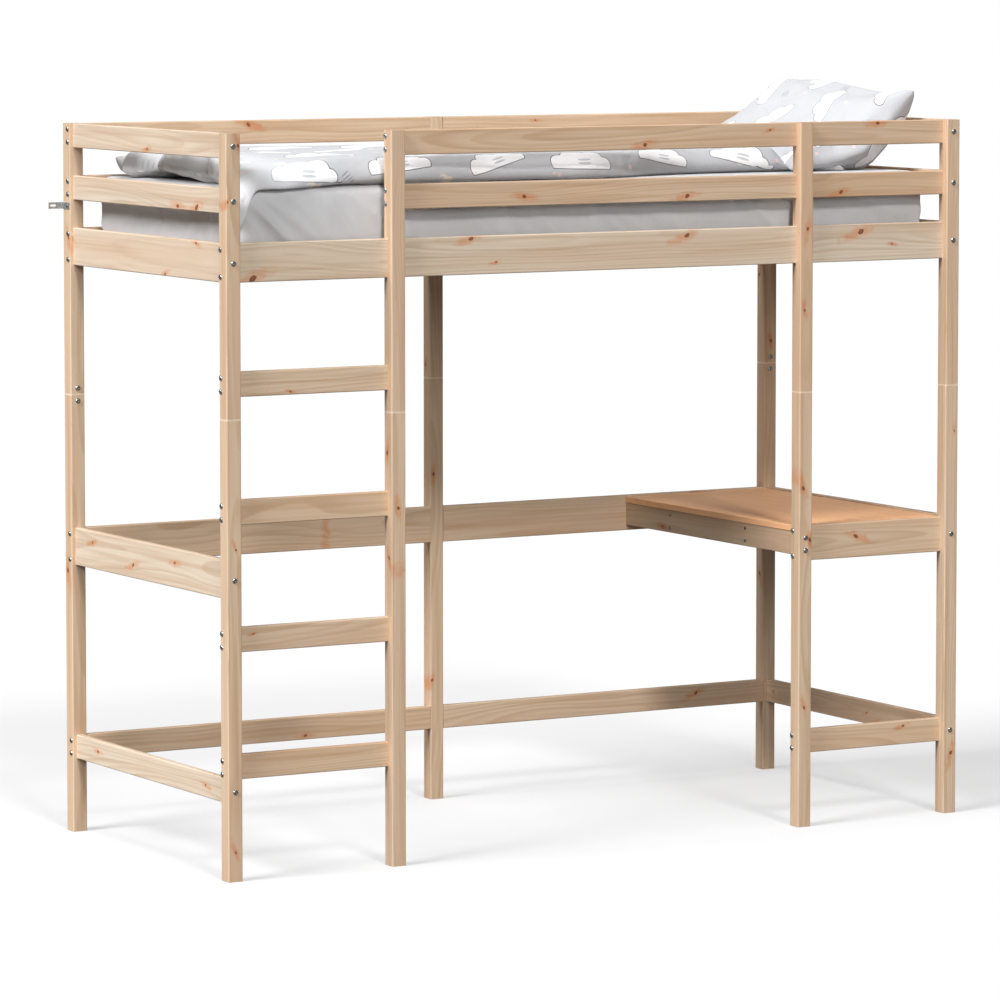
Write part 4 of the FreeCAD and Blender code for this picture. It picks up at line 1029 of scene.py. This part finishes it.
mattress = make_mattress()
duvet = make_duvet()
pillow = make_pillow()
paint_sheet("jersey_sheet", mattress)
paint_print("printed_duvet", duvet, (0.21, 0.035, 0.0))
paint_print("printed_pillow", pillow, (0.41, 0.27, 0.0))
ride(mattress, "mattress")
ride(duvet, "duvet")
ride(pillow, "pillow")


# ----------------------------------------------------------------------- stage

FLOOR_HALF = 60.0
FLOOR_DROP = 0.0005
FLOOR_GLOW = 0.52
CAMERA_PLACE = (-6.7393, -11.6225, 2.1983)
CAMERA_PITCH = 4.5987
CAMERA_YAW = 30.0020
CAMERA_LENS = 193.514
CAMERA_SENSOR = 36
CAMERA_SHIFT = -0.12


def make_floor():
    half = FLOOR_HALF
    z = cad_box[0].z - FLOOR_DROP
    corners = [(-half, -half, z), (half, -half, z), (half, half, z), (-half, half, z)]
    floor = mesh_object("studio_floor", corners, [(0, 1, 2, 3)])
    material, g = new_material("studio_floor")
    place = g.add("ShaderNodeTexCoord").outputs["Object"]
    grain = g.noise(place, 3.0, 2.0)
    colour = g.mix(grain, srgb(158, 158, 158), srgb(162, 162, 162))
    g.shader(
        Base_Color=colour,
        Roughness=0.8,
        Specular_IOR_Level=0.0,
        Emission_Color=(1, 1, 1, 1),
        Emission_Strength=FLOOR_GLOW,
    )
    floor.data.materials.append(material)
    floor.visible_diffuse = False
    floor.visible_glossy = False


def make_sun(name, towards, power, softness, colour=(1, 1, 1), glossy=True):
    """A distant soft light that comes from the direction towards."""
    data = bpy.data.lights.new(name, "SUN")
    data.energy = power * math.pi
    data.angle = math.radians(softness)
    data.color = colour
    light = bpy.data.objects.new(name, data)
    light.rotation_euler = Vector(towards).to_track_quat("Z", "Y").to_euler()
    light.visible_glossy = glossy
    scene.collection.objects.link(light)


def make_world(ambient):
    world = bpy.data.worlds.new("studio")
    scene.world = world
    world.use_nodes = True
    world.node_tree.nodes.clear()
    g = Nodes(world.node_tree)
    seen = g.add("ShaderNodeLightPath").outputs["Is Camera Ray"]
    strength = g.math("ADD", ambient, g.math("MULTIPLY", seen, 1.0 - ambient))
    back = g.add("ShaderNodeBackground", {"Color": (1, 1, 1, 1), "Strength": strength})
    g.add("ShaderNodeOutputWorld", {"Surface": back.outputs[0]})


def make_camera():
    data = bpy.data.cameras.new("camera")
    data.lens = CAMERA_LENS
    data.sensor_width = CAMERA_SENSOR
    data.shift_y = CAMERA_SHIFT
    data.clip_end = 200
    camera = bpy.data.objects.new("camera", data)
    camera.location = CAMERA_PLACE
    camera.rotation_euler = (math.radians(90 - CAMERA_PITCH), 0, math.radians(-CAMERA_YAW))
    scene.collection.objects.link(camera)
    scene.camera = camera


make_floor()
make_world(0.145)
make_sun("left_softbox", (-0.76, -0.1, 0.64), 1.35, 26, (1.0, 1.0, 1.02))
make_sun("front_softbox", (-0.12, -0.77, 0.63), 0.48, 10)
make_sun("front_fill", (-0.25, -0.92, 0.28), 0.23, 22)
make_sun("back_fill", (0.6, 0.75, 0.2), 0.2, 30, glossy=False)
make_camera()
scene.view_settings.view_transform = "Standard"
